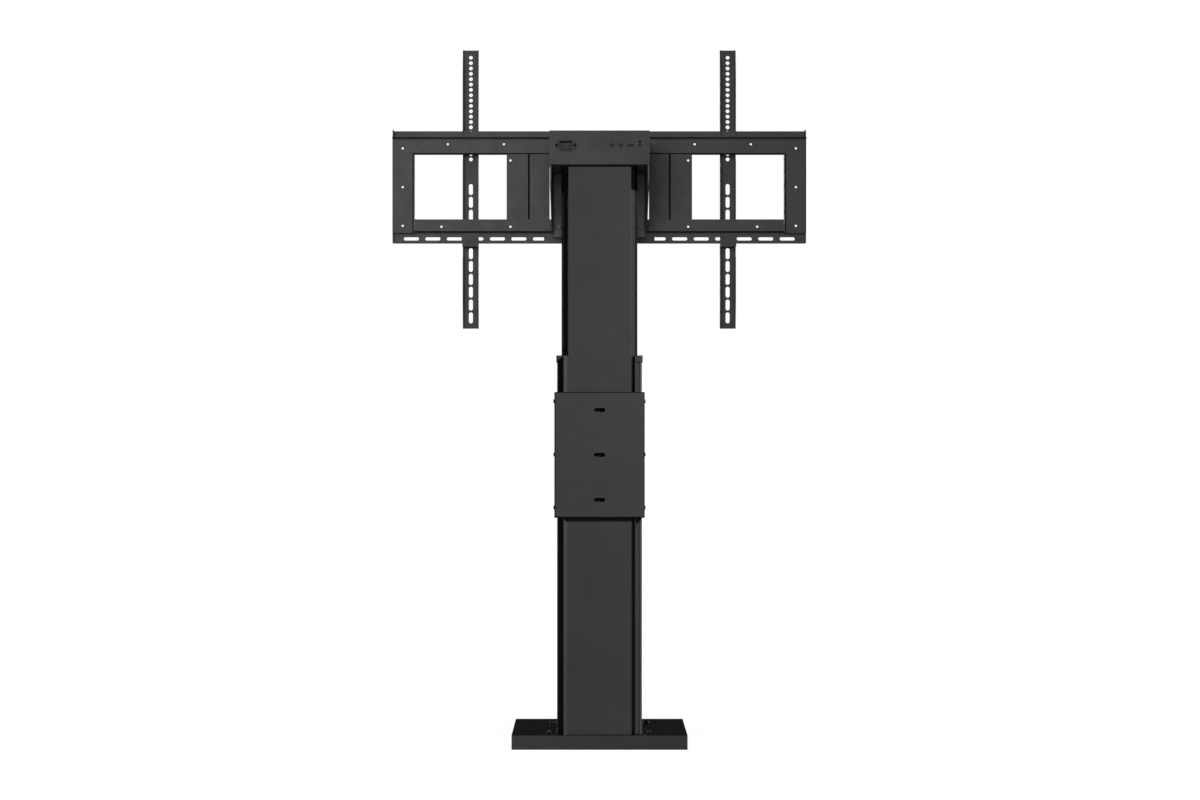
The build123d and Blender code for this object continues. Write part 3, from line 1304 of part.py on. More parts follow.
def arm():
    """Right arm: a U channel with hooks for both rails and its rows of display holes."""
    half = ARM_WIDTH / 2
    outline = panel(-half, half, ARM_BOTTOM, ARM_TOP)
    for step in range(ARM_HOLE_COUNT):
        z = ARM_TOP - ARM_HOLE_FIRST - ARM_HOLE_PITCH * step
        outline -= Pos(0, z) * Circle(ARM_HOLE / 2)
    slot = Rot(0, 0, 90) * SlotOverall(ARM_SLOT_LENGTH, ARM_SLOT_WIDTH)
    for step in range(ARM_SLOT_COUNT):
        z = ARM_TOP - ARM_SLOT_FIRST - ARM_SLOT_PITCH * step
        outline -= Pos(0, z) * slot
    web = front_sheet(outline, ARM_WEB_FRONT, ARM_SHEET)
    lip_slot_near = LIP_FACE - SEAT_GAP
    lip_slot_far = HOOK_RAIL_BACK + SEAT_GAP
    corners = [
        (ARM_BACK, ARM_BOTTOM),
        (ARM_BACK, ARM_TOP),
        (ARM_END_EDGE, ARM_TOP),
        (ARM_LIP_EDGE, ARM_TOP - ARM_TAPER),
        (ARM_LIP_EDGE, HOOK_MOUTH),
        (lip_slot_near, HOOK_MOUTH),
        (lip_slot_near, LIP_TOP + SEAT_GAP),
        (lip_slot_far, LIP_TOP + SEAT_GAP),
        (lip_slot_far, HOOK_MOUTH),
        (ARM_NOTCH_EDGE, HOOK_MOUTH),
        (ARM_NOTCH_EDGE, TOP_NOTCH_BOTTOM),
        (ARM_LIP_EDGE, TOP_NOTCH_BOTTOM),
        (ARM_LIP_EDGE, LOW_NOTCH_TOP),
        (ARM_NOTCH_EDGE, LOW_NOTCH_TOP),
        (ARM_NOTCH_EDGE, LOW_NOTCH_BOTTOM),
        (ARM_LIP_EDGE, LOW_NOTCH_BOTTOM),
        (ARM_LIP_EDGE, ARM_BOTTOM + ARM_TAPER),
        (ARM_END_EDGE, ARM_BOTTOM),
    ]
    cheek = side_sheet(corners, half - ARM_SHEET, ARM_SHEET)
    channel = web + cheek + mirrored(cheek)
    bends = channel.edges().filter_by(Axis.Z).group_by(Axis.Y)[-1]
    channel = fillet(bends, ARM_BEND)
    return Pos(ARM_OFFSET, 0, 0) * channel


def lock_clip():
    """Clip under the right arm that stops it lifting off the slotted rail."""
    front = SLOT_WEB_FACE - SEAT_GAP - CLIP_SHEET
    back = ARM_WEB_FRONT - SEAT_GAP
    half = CLIP_WIDTH / 2
    inner_half = ARM_WIDTH / 2 - ARM_SHEET - SEAT_GAP
    x = ARM_OFFSET
    upright = block(x - half, x + half, front, front + CLIP_SHEET, CLIP_BOTTOM, CLIP_TOP)
    leg = block(
        x - inner_half, x + inner_half, front, back, CLIP_BOTTOM, CLIP_BOTTOM + CLIP_SHEET
    )
    tab = block(
        x - inner_half, x + inner_half, back - CLIP_SHEET, back, CLIP_BOTTOM, CLIP_TAB_TOP
    )
    collar_near = back - CLIP_SHEET - LOCK_COLLAR_HEIGHT
    collar = rod_through(x, collar_near, back, LOCK_BOLT_Z, LOCK_COLLAR_DIAMETER)
    thread = rod_through(x, collar_near, back, LOCK_BOLT_Z, LOCK_BOLT_DIAMETER)
    return upright + leg + tab + collar - thread


def lock_bolt():
    """Low headed bolt through a slot of the right arm into the clip."""
    tip = ARM_WEB_FRONT - SEAT_GAP - CLIP_SHEET - LOCK_COLLAR_HEIGHT
    shank = rod_through(ARM_OFFSET, tip, ARM_BACK, LOCK_BOLT_Z, LOCK_BOLT_DIAMETER)
    head = rod_through(
        ARM_OFFSET, ARM_BACK, ARM_BACK + LOCK_HEAD_HEIGHT, LOCK_BOLT_Z, LOCK_HEAD_DIAMETER
    )
    head = fillet(head.edges().group_by(Axis.Y)[-1], LOCK_HEAD_HEIGHT / 2)
    return shank + head


def all_pieces():
    """Every piece of the lift by name."""
    pieces = {
        "base_cover": base_cover(),
        "base_plate": base_plate(),
        "base_bolts": base_bolts(),
        "base_washers": base_washers(),
        "lower_column": lower_column(),
        "column_foot": column_foot(),
        "foot_screws": foot_screws(),
        "foot_side_screws": group(foot_side_screw_shapes()),
        "wall_bracket": wall_bracket(),
        "bracket_screws": bracket_screws(),
        "bracket_spacers": bracket_spacers(),
        "push_tube": push_tube(),
        "tube_screws": tube_screws(),
        "spindle_nut": spindle_nut(),
        "upper_column": upper_column(),
        "head_plate": head_plate(),
        "head_screws": head_screws(),
        "plate_side_screws": group(plate_side_screw_shapes()),
        "motor_posts": motor_posts(),
        "bearing_block": bearing_block(),
        "spindle_bearing": spindle_bearing(),
        "gearbox": gearbox(),
        "motor": motor(),
        "spindle": spindle(),
        "spindle_coupling": spindle_coupling(),
        "carriage_bracket": carriage_bracket(),
        "carriage_screws": carriage_screws(),
        "carriage_nuts": carriage_nuts(),
        "control_housing": control_housing(),
        "housing_floor": housing_floor(),
        "mains_inlet": mains_inlet(),
        "inlet_screws": inlet_screws(),
        "round_sockets": round_sockets(),
        "flat_port": flat_port(),
        "jack_socket": jack_socket(),
        "status_lamp": status_lamp(),
        "control_board": control_board(),
        "power_supply": power_supply(),
        "upper_sheet": upper_sheet(),
        "lower_sheet": lower_sheet(),
        "hook_rail": hook_rail(),
        "slot_rail": slot_rail(),
        "rail_backing_plate": rail_backing_plate(),
    }
    paired = {
        "guide_cap": guide_cap(),
        "glide_strip": glide_strip(),
        "glide_shoe": glide_shoe(),
        "frame_upright": frame_upright(),
        "end_plate": end_plate(),
        "arm": arm(),
        "lock_clip": lock_clip(),
        "lock_bolt": lock_bolt(),
    }
    for name, shape in paired.items():
        pieces[name + "_right"] = shape
        pieces[name + "_left"] = mirrored(shape)
    return pieces


os.makedirs("parts", exist_ok=True)
for name, shape in all_pieces().items():
    export_step(shape, f"parts/{name}.step")
    size = shape.bounding_box().size
    print(f"{name}: {size.X:.1f} x {size.Y:.1f} x {size.Z:.1f} mm, {len(shape.solids())} solids")
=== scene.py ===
# %% [markdown]
# An electric floor lift for a large display. Two telescopic columns stand on a flat base, a folded
# bracket ties them to the wall, and a wide sheet-metal frame at the head carries two hooked arms.
# The shapes come from the measured model. This lesson gives them their finishes, the small turned
# and cut pieces that a measured model leaves plain, and the light of a plain product picture.

# %% Load the measured model
import json
import math

import bmesh
import bpy
from mathutils import Matrix, Vector


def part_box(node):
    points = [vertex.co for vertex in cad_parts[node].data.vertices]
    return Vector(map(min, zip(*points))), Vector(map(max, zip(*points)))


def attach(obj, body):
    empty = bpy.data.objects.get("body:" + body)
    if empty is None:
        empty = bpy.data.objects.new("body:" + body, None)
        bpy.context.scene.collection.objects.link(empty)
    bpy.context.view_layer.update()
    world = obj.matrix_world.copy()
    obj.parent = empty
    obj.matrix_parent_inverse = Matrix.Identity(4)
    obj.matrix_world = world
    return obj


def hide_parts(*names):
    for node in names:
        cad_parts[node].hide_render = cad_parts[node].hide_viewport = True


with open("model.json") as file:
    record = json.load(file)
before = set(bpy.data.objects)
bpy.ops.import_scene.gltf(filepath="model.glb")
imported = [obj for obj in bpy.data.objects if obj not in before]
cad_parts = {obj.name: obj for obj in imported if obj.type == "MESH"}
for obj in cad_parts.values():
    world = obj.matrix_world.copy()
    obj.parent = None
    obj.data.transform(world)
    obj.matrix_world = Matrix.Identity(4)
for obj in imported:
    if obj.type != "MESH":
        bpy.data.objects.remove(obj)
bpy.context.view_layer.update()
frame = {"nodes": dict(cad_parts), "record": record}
nodes = frame["nodes"]
MM = 0.001


# %% [markdown]
# Every finish below is made of shader nodes. They could be wired one by one, but most finishes need
# the same things: a tone that varies a little, a gloss that wanders, a fine relief, and edges that
# catch the light. A small helper gives each of them in one line. A bevel node rounds the edges for
# the light only, so the shapes stay as measured.

# %% Shader helpers
BEVEL_SAMPLES = 4


class Finish:
    """One material with short calls for adding nodes and joining them."""

    def __init__(self, name):
        self.material = bpy.data.materials.new(name)
        self.material.use_nodes = True
        self.tree = self.material.node_tree
        self.tree.nodes.clear()
        self.shader = self.add("ShaderNodeBsdfPrincipled")
        output = self.add("ShaderNodeOutputMaterial")
        self.put(output, "Surface", self.shader.outputs["BSDF"])
        self.place = self.add("ShaderNodeTexCoord").outputs["Object"]

    def add(self, kind, **values):
        """Adds a node. Names with a capital are sockets, the others are the node's own settings."""
        node = self.tree.nodes.new(kind)
        for name, value in values.items():
            if name[0].isupper():
                node.inputs[name.replace("_", " ")].default_value = value
            else:
                setattr(node, name, value)
        return node

    def put(self, node, socket, value):
        """Joins a node's output to a socket, or sets the socket to a plain value."""
        if isinstance(value, bpy.types.NodeSocket):
            self.tree.links.new(value, node.inputs[socket])
        else:
            node.inputs[socket].default_value = value

    def calc(self, operation, first, second=0.0):
        """One sum on two values, each a plain number or a node's output."""
        node = self.add("ShaderNodeMath", operation=operation)
        self.put(node, 0, first)
        self.put(node, 1, second)
        return node.outputs[0]

    def coordinates(self):
        """The piece's own x, y and z in metres."""
        split = self.add("ShaderNodeSeparateXYZ")
        self.put(split, 0, self.place)
        return split.outputs[0], split.outputs[1], split.outputs[2]

    def noise(self, scale, detail=2.0, stretch=(1.0, 1.0, 1.0)):
        """Noise in the piece's own metres, with an optional stretch along the axes."""
        mapping = self.add("ShaderNodeMapping", Scale=stretch)
        self.put(mapping, "Vector", self.place)
        noise = self.add("ShaderNodeTexNoise", Scale=scale, Detail=detail)
        self.put(noise, "Vector", mapping.outputs["Vector"])
        return noise.outputs[0]

    def spread(self, value, low, high, start=0.3, end=0.7):
        """Maps a value between start and end onto low to high, and holds it there outside."""
        ramp = self.add("ShaderNodeMapRange")
        for socket, part in enumerate((value, start, end, low, high)):
            self.put(ramp, socket, part)
        return ramp.outputs[0]

    def tint(self, colour, factor):
        """The base colour times a factor."""
        body = self.add("ShaderNodeVectorMath", operation="SCALE")
        self.put(body, 0, colour)
        self.put(body, "Scale", factor)
        self.put(self.shader, "Base Color", body.outputs[0])

    def gloss(self, source, low, high):
        """A roughness that wanders between two values."""
        self.put(self.shader, "Roughness", self.spread(source, low, high))

    def relief(self, source, strength, height, edge_round):
        """A fine bump, over edges that are rounded for the light only."""
        edge = self.add("ShaderNodeBevel", samples=BEVEL_SAMPLES, Radius=edge_round)
        bump = self.add("ShaderNodeBump", Strength=strength, Distance=height)
        self.put(bump, "Height", source)
        self.put(bump, "Normal", edge.outputs["Normal"])
        self.put(self.shader, "Normal", bump.outputs["Normal"])


def paint_slots(material, slots):
    """Gives a finish to every node of the model that takes one of these material slots."""
    count = 0
    for part in frame["record"]["subparts"]:
        if part["material_slot"] in slots:
            mesh = nodes[part["node"]].data
            mesh.materials.clear()
            mesh.materials.append(material)
            count += 1
    print(material.name, "on", count, "nodes")


def paint_node(name, material):
    """Gives one node a finish of its own."""
    nodes[name].data.materials[0] = material


# %% [markdown]
# Powder coat is sprayed as dry powder and baked. Up close it is a fine, even orange peel, matt
# but not dull. Wide soft clouds and fine specks vary its tone, and a noise of about a millimetre
# makes the peel. The coats of the pieces differ a little in tone, as they do in the photo.

# %% Powder coat
COAT_TONES = {
    "base": 0.046, "column": 0.042, "bracket": 0.045, "frame": 0.052, "housing": 0.037,
    "arm": 0.041,
}
COAT_BLUE = 1.02
COAT_SHINE = 0.3
COAT_ROUGH = (0.5, 0.59)
CLOUD_SCALE = 7.0
CLOUD_SPREAD = (0.93, 1.07)
SPECK_SCALE = 2600.0
SPECK_SPREAD = (0.9, 1.1)
SMEAR_SCALE = 35.0
PEEL_SCALE = 900.0
PEEL_STRENGTH = 0.35
PEEL_HEIGHT = 0.12 * MM
COAT_EDGE = 0.3 * MM
SHADE_LINE_BLUR = 0.5 * MM


def from_middle(finish, value, low, high):
    """How far a coordinate lies outside a range, below zero inside it. The range is in mm."""
    off = finish.calc("SUBTRACT", value, (low + high) / 2 * MM)
    return finish.calc("SUBTRACT", finish.calc("ABSOLUTE", off), (high - low) / 2 * MM)


def painted_shade_share(finish, share, depth, boxes):
    """1, but this share of painted shade inside any of these boxes of x and z in mm, in a range of
    y.
    """
    x, y, z = finish.coordinates()
    reach = 1.0
    for left, right, bottom, top in boxes:
        aside = from_middle(finish, x, left, right)
        outside = finish.calc("MAXIMUM", aside, from_middle(finish, z, bottom, top))
        reach = finish.calc("MINIMUM", reach, outside)
    reach = finish.calc("MAXIMUM", reach, from_middle(finish, y, *depth))
    return finish.spread(reach, share, 1.0, 0.0, SHADE_LINE_BLUR)


def powder_coat(name, tone, shade_line_sets=()):
    """A fine textured black powder coat of one tone, with sets of darker and duller lines of
    painted shade.
    """
    finish = Finish(name)
    clouds = finish.spread(finish.noise(CLOUD_SCALE, 4.0), *CLOUD_SPREAD)
    specks = finish.spread(finish.noise(SPECK_SCALE, 1.0), *SPECK_SPREAD)
    vary = finish.calc("MULTIPLY", clouds, specks)
    shine = COAT_SHINE
    # Each set of lines paints shade into the tone and dims the gloss with it.
    for shade_line_set in shade_line_sets:
        share = painted_shade_share(finish, *shade_line_set)
        vary = finish.calc("MULTIPLY", vary, share)
        shine = finish.calc("MULTIPLY", share, shine)
    finish.tint((tone, tone, tone * COAT_BLUE), vary)
    finish.put(finish.shader, "Specular IOR Level", shine)
    finish.gloss(finish.noise(SMEAR_SCALE, 3.0), *COAT_ROUGH)
    finish.relief(finish.noise(PEEL_SCALE), PEEL_STRENGTH, PEEL_HEIGHT, COAT_EDGE)
    return finish.material


for coat, tone in COAT_TONES.items():
    paint_slots(powder_coat(coat + "_coat", tone), [coat + "_paint"])

# %% [markdown]
# The edges and seams of the sheets read as fine dark lines where shade falls into the gaps and
# under the overlaps. They could be thin solids, but nothing stands proud on a real edge, so this
# shade is painted into the finish as lines of painted shade, darker and with less gloss. Each line
# is a long thin box of x and z, and a set of lines shares one range of y, which keeps it on the
# face that the camera sees. The upper column's rounded corner gets a lighter painted shade that
# dims the highlight its lamp gives it.

# %% Painted shade lines
SHADE_LINE_SHARE = 0.15
CORNER_PAINTED_SHADE_SHARE = 0.45
UPPER_COLUMN_TONE = 0.048

# Node: tone, and sets of painted shade lines as (share of the tone, y range, boxes of left, right,
# bottom, top), in mm
PAINTED_SHADE_LINES = {
    "upper_column": (UPPER_COLUMN_TONE, [
        (SHADE_LINE_SHARE, (-76.0, -72.0), [(79.6, 82.5, 479.0, 1320.0)]),
        # The rounded corner of the face is painted a little darker: painted shade that dims the
        # lamp's highlight there.
        (CORNER_PAINTED_SHADE_SHARE, (-92.0, -86.0), [(68.6, 71.5, 479.0, 1320.0)]),
    ]),
    "wall_bracket": (COAT_TONES["bracket"], [(SHADE_LINE_SHARE, (-106.0, -102.6), [
        (-101.0, -98.6, 515.0, 797.0), (98.6, 101.0, 515.0, 797.0),
        (-101.0, 101.0, 515.0, 518.6), (-101.0, 101.0, 794.4, 797.0),
    ])]),
    "upper_sheet": (COAT_TONES["frame"], [(SHADE_LINE_SHARE, (43.0, 54.2), [
        (-433.2, 433.2, 1351.0, 1353.2), (-433.2, -431.0, 1167.0, 1353.2),
        (431.0, 433.2, 1167.0, 1353.2), (477.6, 480.5, 1167.0, 1389.0),
        (-480.0, 480.0, 1387.3, 1389.5),
    ])]),
    "lower_sheet": (COAT_TONES["frame"], [(SHADE_LINE_SHARE, (53.0, 54.2), [
        (-428.5, 428.5, 1169.0, 1172.2), (212.8, 215.0, 1199.5, 1351.0),
        (-165.3, -161.5, 1199.5, 1351.0), (161.5, 165.3, 1199.5, 1351.0),
    ])]),
    "frame_upright_left": (COAT_TONES["frame"], [
        (SHADE_LINE_SHARE, (54.0, 67.0), [(-167.0, -159.0, 1199.5, 1352.0)]),
    ]),
    "frame_upright_right": (COAT_TONES["frame"], [
        (SHADE_LINE_SHARE, (54.0, 67.0), [(159.0, 167.0, 1199.5, 1352.0)]),
    ]),
}
# These nodes get painted shade along their edges and seams.
for name, (tone, shade_line_sets) in PAINTED_SHADE_LINES.items():
    paint_node(name, powder_coat(name + "_coat", tone, shade_line_sets))
print("nodes with edge lines:", len(PAINTED_SHADE_LINES))

# %% [markdown]
# The guide caps, strips and shoes are moulded from a dark glass-filled plastic. The mould's
# spark-eroded walls leave a coarser and rounder grain than powder coat has, with less gloss. The
# sliding strips come out nearly black, and the sockets are a finer and duller moulding.

# %% Moulded plastic
MOULD_SHINE = 0.25
SOCKET_SHINE = 0.1
MOULD_CLOUD_SCALE = 18.0
MOULD_SPREAD = (0.9, 1.1)
MOULD_SMEAR_SCALE = 60.0
MOULD_ROUGH_SWING = 0.05
GUIDE_GRAIN = 1600.0
SOCKET_GRAIN = 2600.0
GRAIN_STRENGTH = 0.25
GRAIN_HEIGHT = 0.1 * MM
MOULD_EDGE = 0.4 * MM


def moulded(name, tone, rough, grain, shine=MOULD_SHINE, share=None):
    """A dark moulded plastic. The share is a function that gives a factor on its tone."""
    finish = Finish(name)
    shade = finish.spread(finish.noise(MOULD_CLOUD_SCALE, 3.0), *MOULD_SPREAD)
    if share:
        shade = finish.calc("MULTIPLY", shade, share(finish))
    finish.tint((tone, tone, tone), shade)
    smear = finish.noise(MOULD_SMEAR_SCALE)
    finish.gloss(smear, rough - MOULD_ROUGH_SWING, rough + MOULD_ROUGH_SWING)
    finish.put(finish.shader, "Specular IOR Level", shine)
    finish.relief(finish.noise(grain, 1.0), GRAIN_STRENGTH, GRAIN_HEIGHT, MOULD_EDGE)
    return finish.material


paint_slots(moulded("guide_plastic", 0.045, 0.5, GUIDE_GRAIN), ["black_plastic"])
glide_plastic = moulded("glide_plastic", 0.008, 0.45, GUIDE_GRAIN)
for side in ("left", "right"):
    paint_node("glide_strip_" + side, glide_plastic)
socket_plastic = moulded("socket_plastic", 0.034, 0.6, SOCKET_GRAIN, SOCKET_SHINE)
paint_slots(socket_plastic, ["socket_plastic"])

# %% [markdown]
# The mains inlet is one moulding: a flange that carries the screws, a rim round the opening and the
# recess with its three pins. The rim and the recess's walls are painted as a deep black line round
# the opening, with the lower corners cut: painted shade for the shadow that falls in the recess.
# The rest is about as grey as the housing. The painted shade lies where a point lies between two
# outlines, each given by its half width, half height and cut corner.

# %% Mains inlet
# The two outlines bound the ring of painted shade round the recess.
SHADE_RIM_OUTER = (14.0 * MM, 10.0 * MM, 19.0 * MM)
SHADE_RIM_INNER = (12.1 * MM, 8.1 * MM, 16.2 * MM)
RIM_PAINTED_SHADE_SHARE = 0.1


def inlet_reach(finish, halves):
    """1 on the outline with these halves, and less inside it."""
    low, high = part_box("mains_inlet")
    x, _, z = finish.coordinates()
    aside = finish.calc("ABSOLUTE", finish.calc("SUBTRACT", x, float(low[0] + high[0]) / 2))
    below = finish.calc("SUBTRACT", float(low[2] + high[2]) / 2, z)
    width = finish.calc("DIVIDE", aside, halves[0])
    height = finish.calc("DIVIDE", finish.calc("ABSOLUTE", below), halves[1])
    corner = finish.calc("DIVIDE", finish.calc("ADD", aside, below), halves[2])
    return finish.calc("MAXIMUM", finish.calc("MAXIMUM", width, height), corner)


def inlet_painted_shade(finish):
    """1, but the painted shade's share on the rim and the recess's walls."""
    within = finish.calc("LESS_THAN", inlet_reach(finish, SHADE_RIM_OUTER), 1.0)
    outside = finish.calc("GREATER_THAN", inlet_reach(finish, SHADE_RIM_INNER), 1.0)
    drop = finish.calc("MULTIPLY", finish.calc("MULTIPLY", within, outside), 1.0 - RIM_PAINTED_SHADE_SHARE)
    return finish.calc("SUBTRACT", 1.0, drop)


# The inlet's rim and recess walls carry painted shade.
inlet_plastic = moulded("inlet_plastic", 0.045, 0.6, SOCKET_GRAIN, SOCKET_SHINE, inlet_painted_shade)
paint_node("mains_inlet", inlet_plastic)
print("inlet rim", SHADE_RIM_OUTER)

# %% [markdown]
# The metals are turned, ground or plated. Tool marks run one way, so the noise that sets the
# gloss and the bump is stretched along one axis. Black oxide is a thin dark layer on steel, which
# only partly shines as a metal does.

# %% Metals
MARK_SCALE = 1800.0
MARK_STRETCH = (1.0, 1.0, 0.05)
MARK_STRENGTH = 0.15
MARK_HEIGHT = 0.05 * MM
STAIN_SCALE = 25.0
STAIN_SPREAD = (0.9, 1.06)
MARK_SMOOTHER = 0.06
MARK_ROUGHER = 0.08
METAL_EDGE = 0.3 * MM


def machined(name, colour, rough, metallic=1.0):
    """A turned or ground metal with fine marks across one axis."""
    finish = Finish(name)
    marks = finish.noise(MARK_SCALE, 2.0, MARK_STRETCH)
    finish.tint(colour, finish.spread(finish.noise(STAIN_SCALE, 3.0), *STAIN_SPREAD))
    finish.gloss(marks, rough - MARK_SMOOTHER, rough + MARK_ROUGHER)
    finish.put(finish.shader, "Metallic", metallic)
    finish.relief(marks, MARK_STRENGTH, MARK_HEIGHT, METAL_EDGE)
    return finish.material


machined_steel = machined("machined_steel", (0.52, 0.52, 0.53), 0.33)
black_oxide = machined("black_oxide", (0.022, 0.022, 0.023), 0.5, 0.3)
paint_slots(machined_steel, ["bare_steel"])
paint_slots(machined("zinc_plate", (0.58, 0.6, 0.62), 0.28), ["bright_screw"])
paint_slots(machined("nut_bronze", (0.52, 0.36, 0.16), 0.36), ["bronze"])
paint_slots(machined("folded_aluminium", (0.6, 0.61, 0.62), 0.42), ["supply_case"])
paint_slots(black_oxide, ["dark_fastener"])

# %% [markdown]
# Two small things are left in the control housing: the green laminate of the circuit board, whose
# copper tracks print through the lacquer as faint straight lines, and a dark lamp lens. The tracks
# could be drawn one by one, but a brick pattern with thin joints reads the same at this size.

# %% Board and lens
TRACK_SCALE = 180.0
TRACK_WIDTH = 0.03
TRACK_GREEN = (0.05, 0.3, 0.12, 1.0)
LACQUER_DARK = (0.02, 0.16, 0.07, 1.0)
LACQUER_LIGHT = (0.025, 0.19, 0.08, 1.0)
LACQUER_ROUGH = 0.3
LENS_GRAIN = 900.0


def laminate(name):
    """Green lacquered board with tracks that show through."""
    finish = Finish(name)
    tracks = finish.add(
        "ShaderNodeTexBrick", Scale=TRACK_SCALE, Mortar_Size=TRACK_WIDTH,
        Color1=LACQUER_DARK, Color2=LACQUER_LIGHT, Mortar=TRACK_GREEN,
    )
    finish.put(tracks, "Vector", finish.place)
    finish.put(finish.shader, "Base Color", tracks.outputs["Color"])
    finish.put(finish.shader, "Roughness", LACQUER_ROUGH)
    return finish.material


paint_slots(laminate("board_laminate"), ["board_green"])
paint_slots(moulded("lamp_lens", 0.012, 0.2, LENS_GRAIN), ["lamp_lens"])

# %% [markdown]
# Small fasteners are turned on a lathe: bar stock is cut to a profile of rings, one behind the
# other, and a punch then drives the recess into the head. The mesh is made the same way. Each ring
# has a height along the screw's axis and a radius, and the rings of a recess follow a hexagon or a
# cross instead of a circle. One group of equal screws becomes one piece.

# %% Turned fasteners
SIDES = 48
CHAMFER = 0.4 * MM
ROUND = "round"
HEXAGON = "hexagon"
CROSS = "cross"
CROSS_SLOT_SHARE = 0.32
TINY = 1e-6
TOWARDS_WALL = (0.0, -1.0, 0.0)
TOWARDS_DISPLAY = (0.0, 1.0, 0.0)

# A head's edge as (steps down, steps inwards) in chamfers, and one thread turn in pitches
HEAD_EDGE = ((0.0, 2.0), (1.0, 0.6), (2.2, 0.0))
THREAD_TURN = ((0.15, 0.0), (0.5, 0.5), (0.85, 0.0))


def ring_radius(shape, size, angle):
    """Distance from the axis to the ring's outline at this angle. The size is half its width."""
    if shape == HEXAGON:
        step = math.radians(60.0)
        return size / math.cos(angle % step - step / 2)
    if shape == CROSS:
        wide = max(abs(math.cos(angle)), TINY)
        thin = max(abs(math.sin(angle)), TINY)
        slot = size * CROSS_SLOT_SHARE
        return max(min(size / wide, slot / thin), min(size / thin, slot / wide))
    return size


def skin_loops(mesh, loops):
    """Joins equal loops of vertices one to the next, and closes both ends."""
    for lower, upper in zip(loops, loops[1:]):
        for step, spot in enumerate(lower):
            after = (step + 1) % len(lower)
            mesh.faces.new((spot, lower[after], upper[after], upper[step]))
    mesh.faces.new(list(reversed(loops[0])))
    mesh.faces.new(loops[-1])


def turn_rings(mesh, place, axis, rings):
    """Adds one closed turned form to the mesh. A ring is (height, half width, outline)."""
    turn = Vector(axis).to_track_quat("Z", "Y").to_matrix().to_4x4()
    stand = Matrix.Translation(Vector(place)) @ turn
    loops = []
    for height, size, shape in rings:
        loop = []
        for step in range(SIDES):
            angle = math.tau * step / SIDES
            radius = ring_radius(shape, size, angle)
            spot = Vector((radius * math.cos(angle), radius * math.sin(angle), height))
            loop.append(mesh.verts.new(stand @ spot))
        loops.append(loop)
    skin_loops(mesh, loops)


def finished_piece(mesh, name, body, node_names, material):
    """Turns a bmesh into a piece that stands for these nodes."""
    bmesh.ops.recalc_face_normals(mesh, faces=mesh.faces[:])
    data = bpy.data.meshes.new(name)
    mesh.to_mesh(data)
    mesh.free()
    data.materials.append(material)
    piece = bpy.data.objects.new(name, data)
    bpy.context.scene.collection.objects.link(piece)
    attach(piece, body)
    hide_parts(*node_names)
    print(name, "faces:", len(data.polygons))
    return piece


def screw_rings(head, head_height, shank, length, recess, depth, shape, pitch, plain):
    """Rings of a screw whose seat is at height 0, with its head above and its shank below."""
    rings = [(head_height - depth, recess / 2, shape), (head_height, recess / 2, shape)]
    for down, inwards in HEAD_EDGE:
        rings.append((head_height - CHAMFER * down, head / 2 - CHAMFER * inwards, ROUND))
    rings += [(0.0, head / 2, ROUND), (0.0, shank / 2, ROUND)]
    for step in range(int((length - plain) / pitch)):
        top = -plain - pitch * step
        for down, inwards in THREAD_TURN:
            rings.append((top - pitch * down, shank / 2 - pitch * inwards, ROUND))
    rings.append((-length + CHAMFER, shank / 2, ROUND))
    rings.append((-length, shank / 2 - CHAMFER, ROUND))
    return rings


def node_middle(name):
    """Lowest corner, highest corner and middle of a node's box."""
    low, high = (Vector(corner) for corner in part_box(name))
    return low, high, (low + high) / 2


# %% [markdown]
# The carriage bracket is held to the frame by four flanged socket screws from the wall side, each
# with a nut behind the frame. The screw's end stands proud of the nut and shows its thread.

# %% Carriage screws
CARRIAGE_HEAD = 13.0 * MM
CARRIAGE_HEAD_HEIGHT = 4.0 * MM
CARRIAGE_KEY = 5.0 * MM
CARRIAGE_KEY_DEPTH = 2.6 * MM
CARRIAGE_SHANK = 8.0 * MM
CARRIAGE_PITCH = 1.25 * MM
CARRIAGE_PLAIN = 5.0 * MM


def carriage_screw_piece():
    """Four flanged screws with a hexagon socket, at the corners of their node's box."""
    low, high, _ = node_middle("carriage_screws")
    seat = low.y + CARRIAGE_HEAD_HEIGHT
    rings = screw_rings(
        CARRIAGE_HEAD, CARRIAGE_HEAD_HEIGHT, CARRIAGE_SHANK, high.y - seat,
        CARRIAGE_KEY, CARRIAGE_KEY_DEPTH, HEXAGON, CARRIAGE_PITCH, CARRIAGE_PLAIN,
    )
    inset = CARRIAGE_HEAD / 2
    mesh = bmesh.new()
    for x in (low.x + inset, high.x - inset):
        for z in (low.z + inset, high.z - inset):
            turn_rings(mesh, (x, seat, z), TOWARDS_WALL, rings)
    return finished_piece(
        mesh, "carriage_socket_screws", "lift", ["carriage_screws"], black_oxide
    )


carriage_screw_heads = carriage_screw_piece()

# %% [markdown]
# The wall bracket's cheeks are fixed by three button screws a side. Their low chamfered heads are
# all that stands proud of the bracket's outline.

# %% Wall bracket screws
BUTTON_HEAD = 9.0 * MM
BUTTON_SEAT = 2.8 * MM
BUTTON_HEIGHT = 3.4 * MM
BUTTON_KEY = 3.0 * MM
BUTTON_KEY_DEPTH = 1.6 * MM
BUTTON_SHANK = 5.0 * MM
BUTTON_PITCH = 0.8 * MM
BUTTON_PLAIN = 0.9 * MM
BUTTON_COUNT = 3


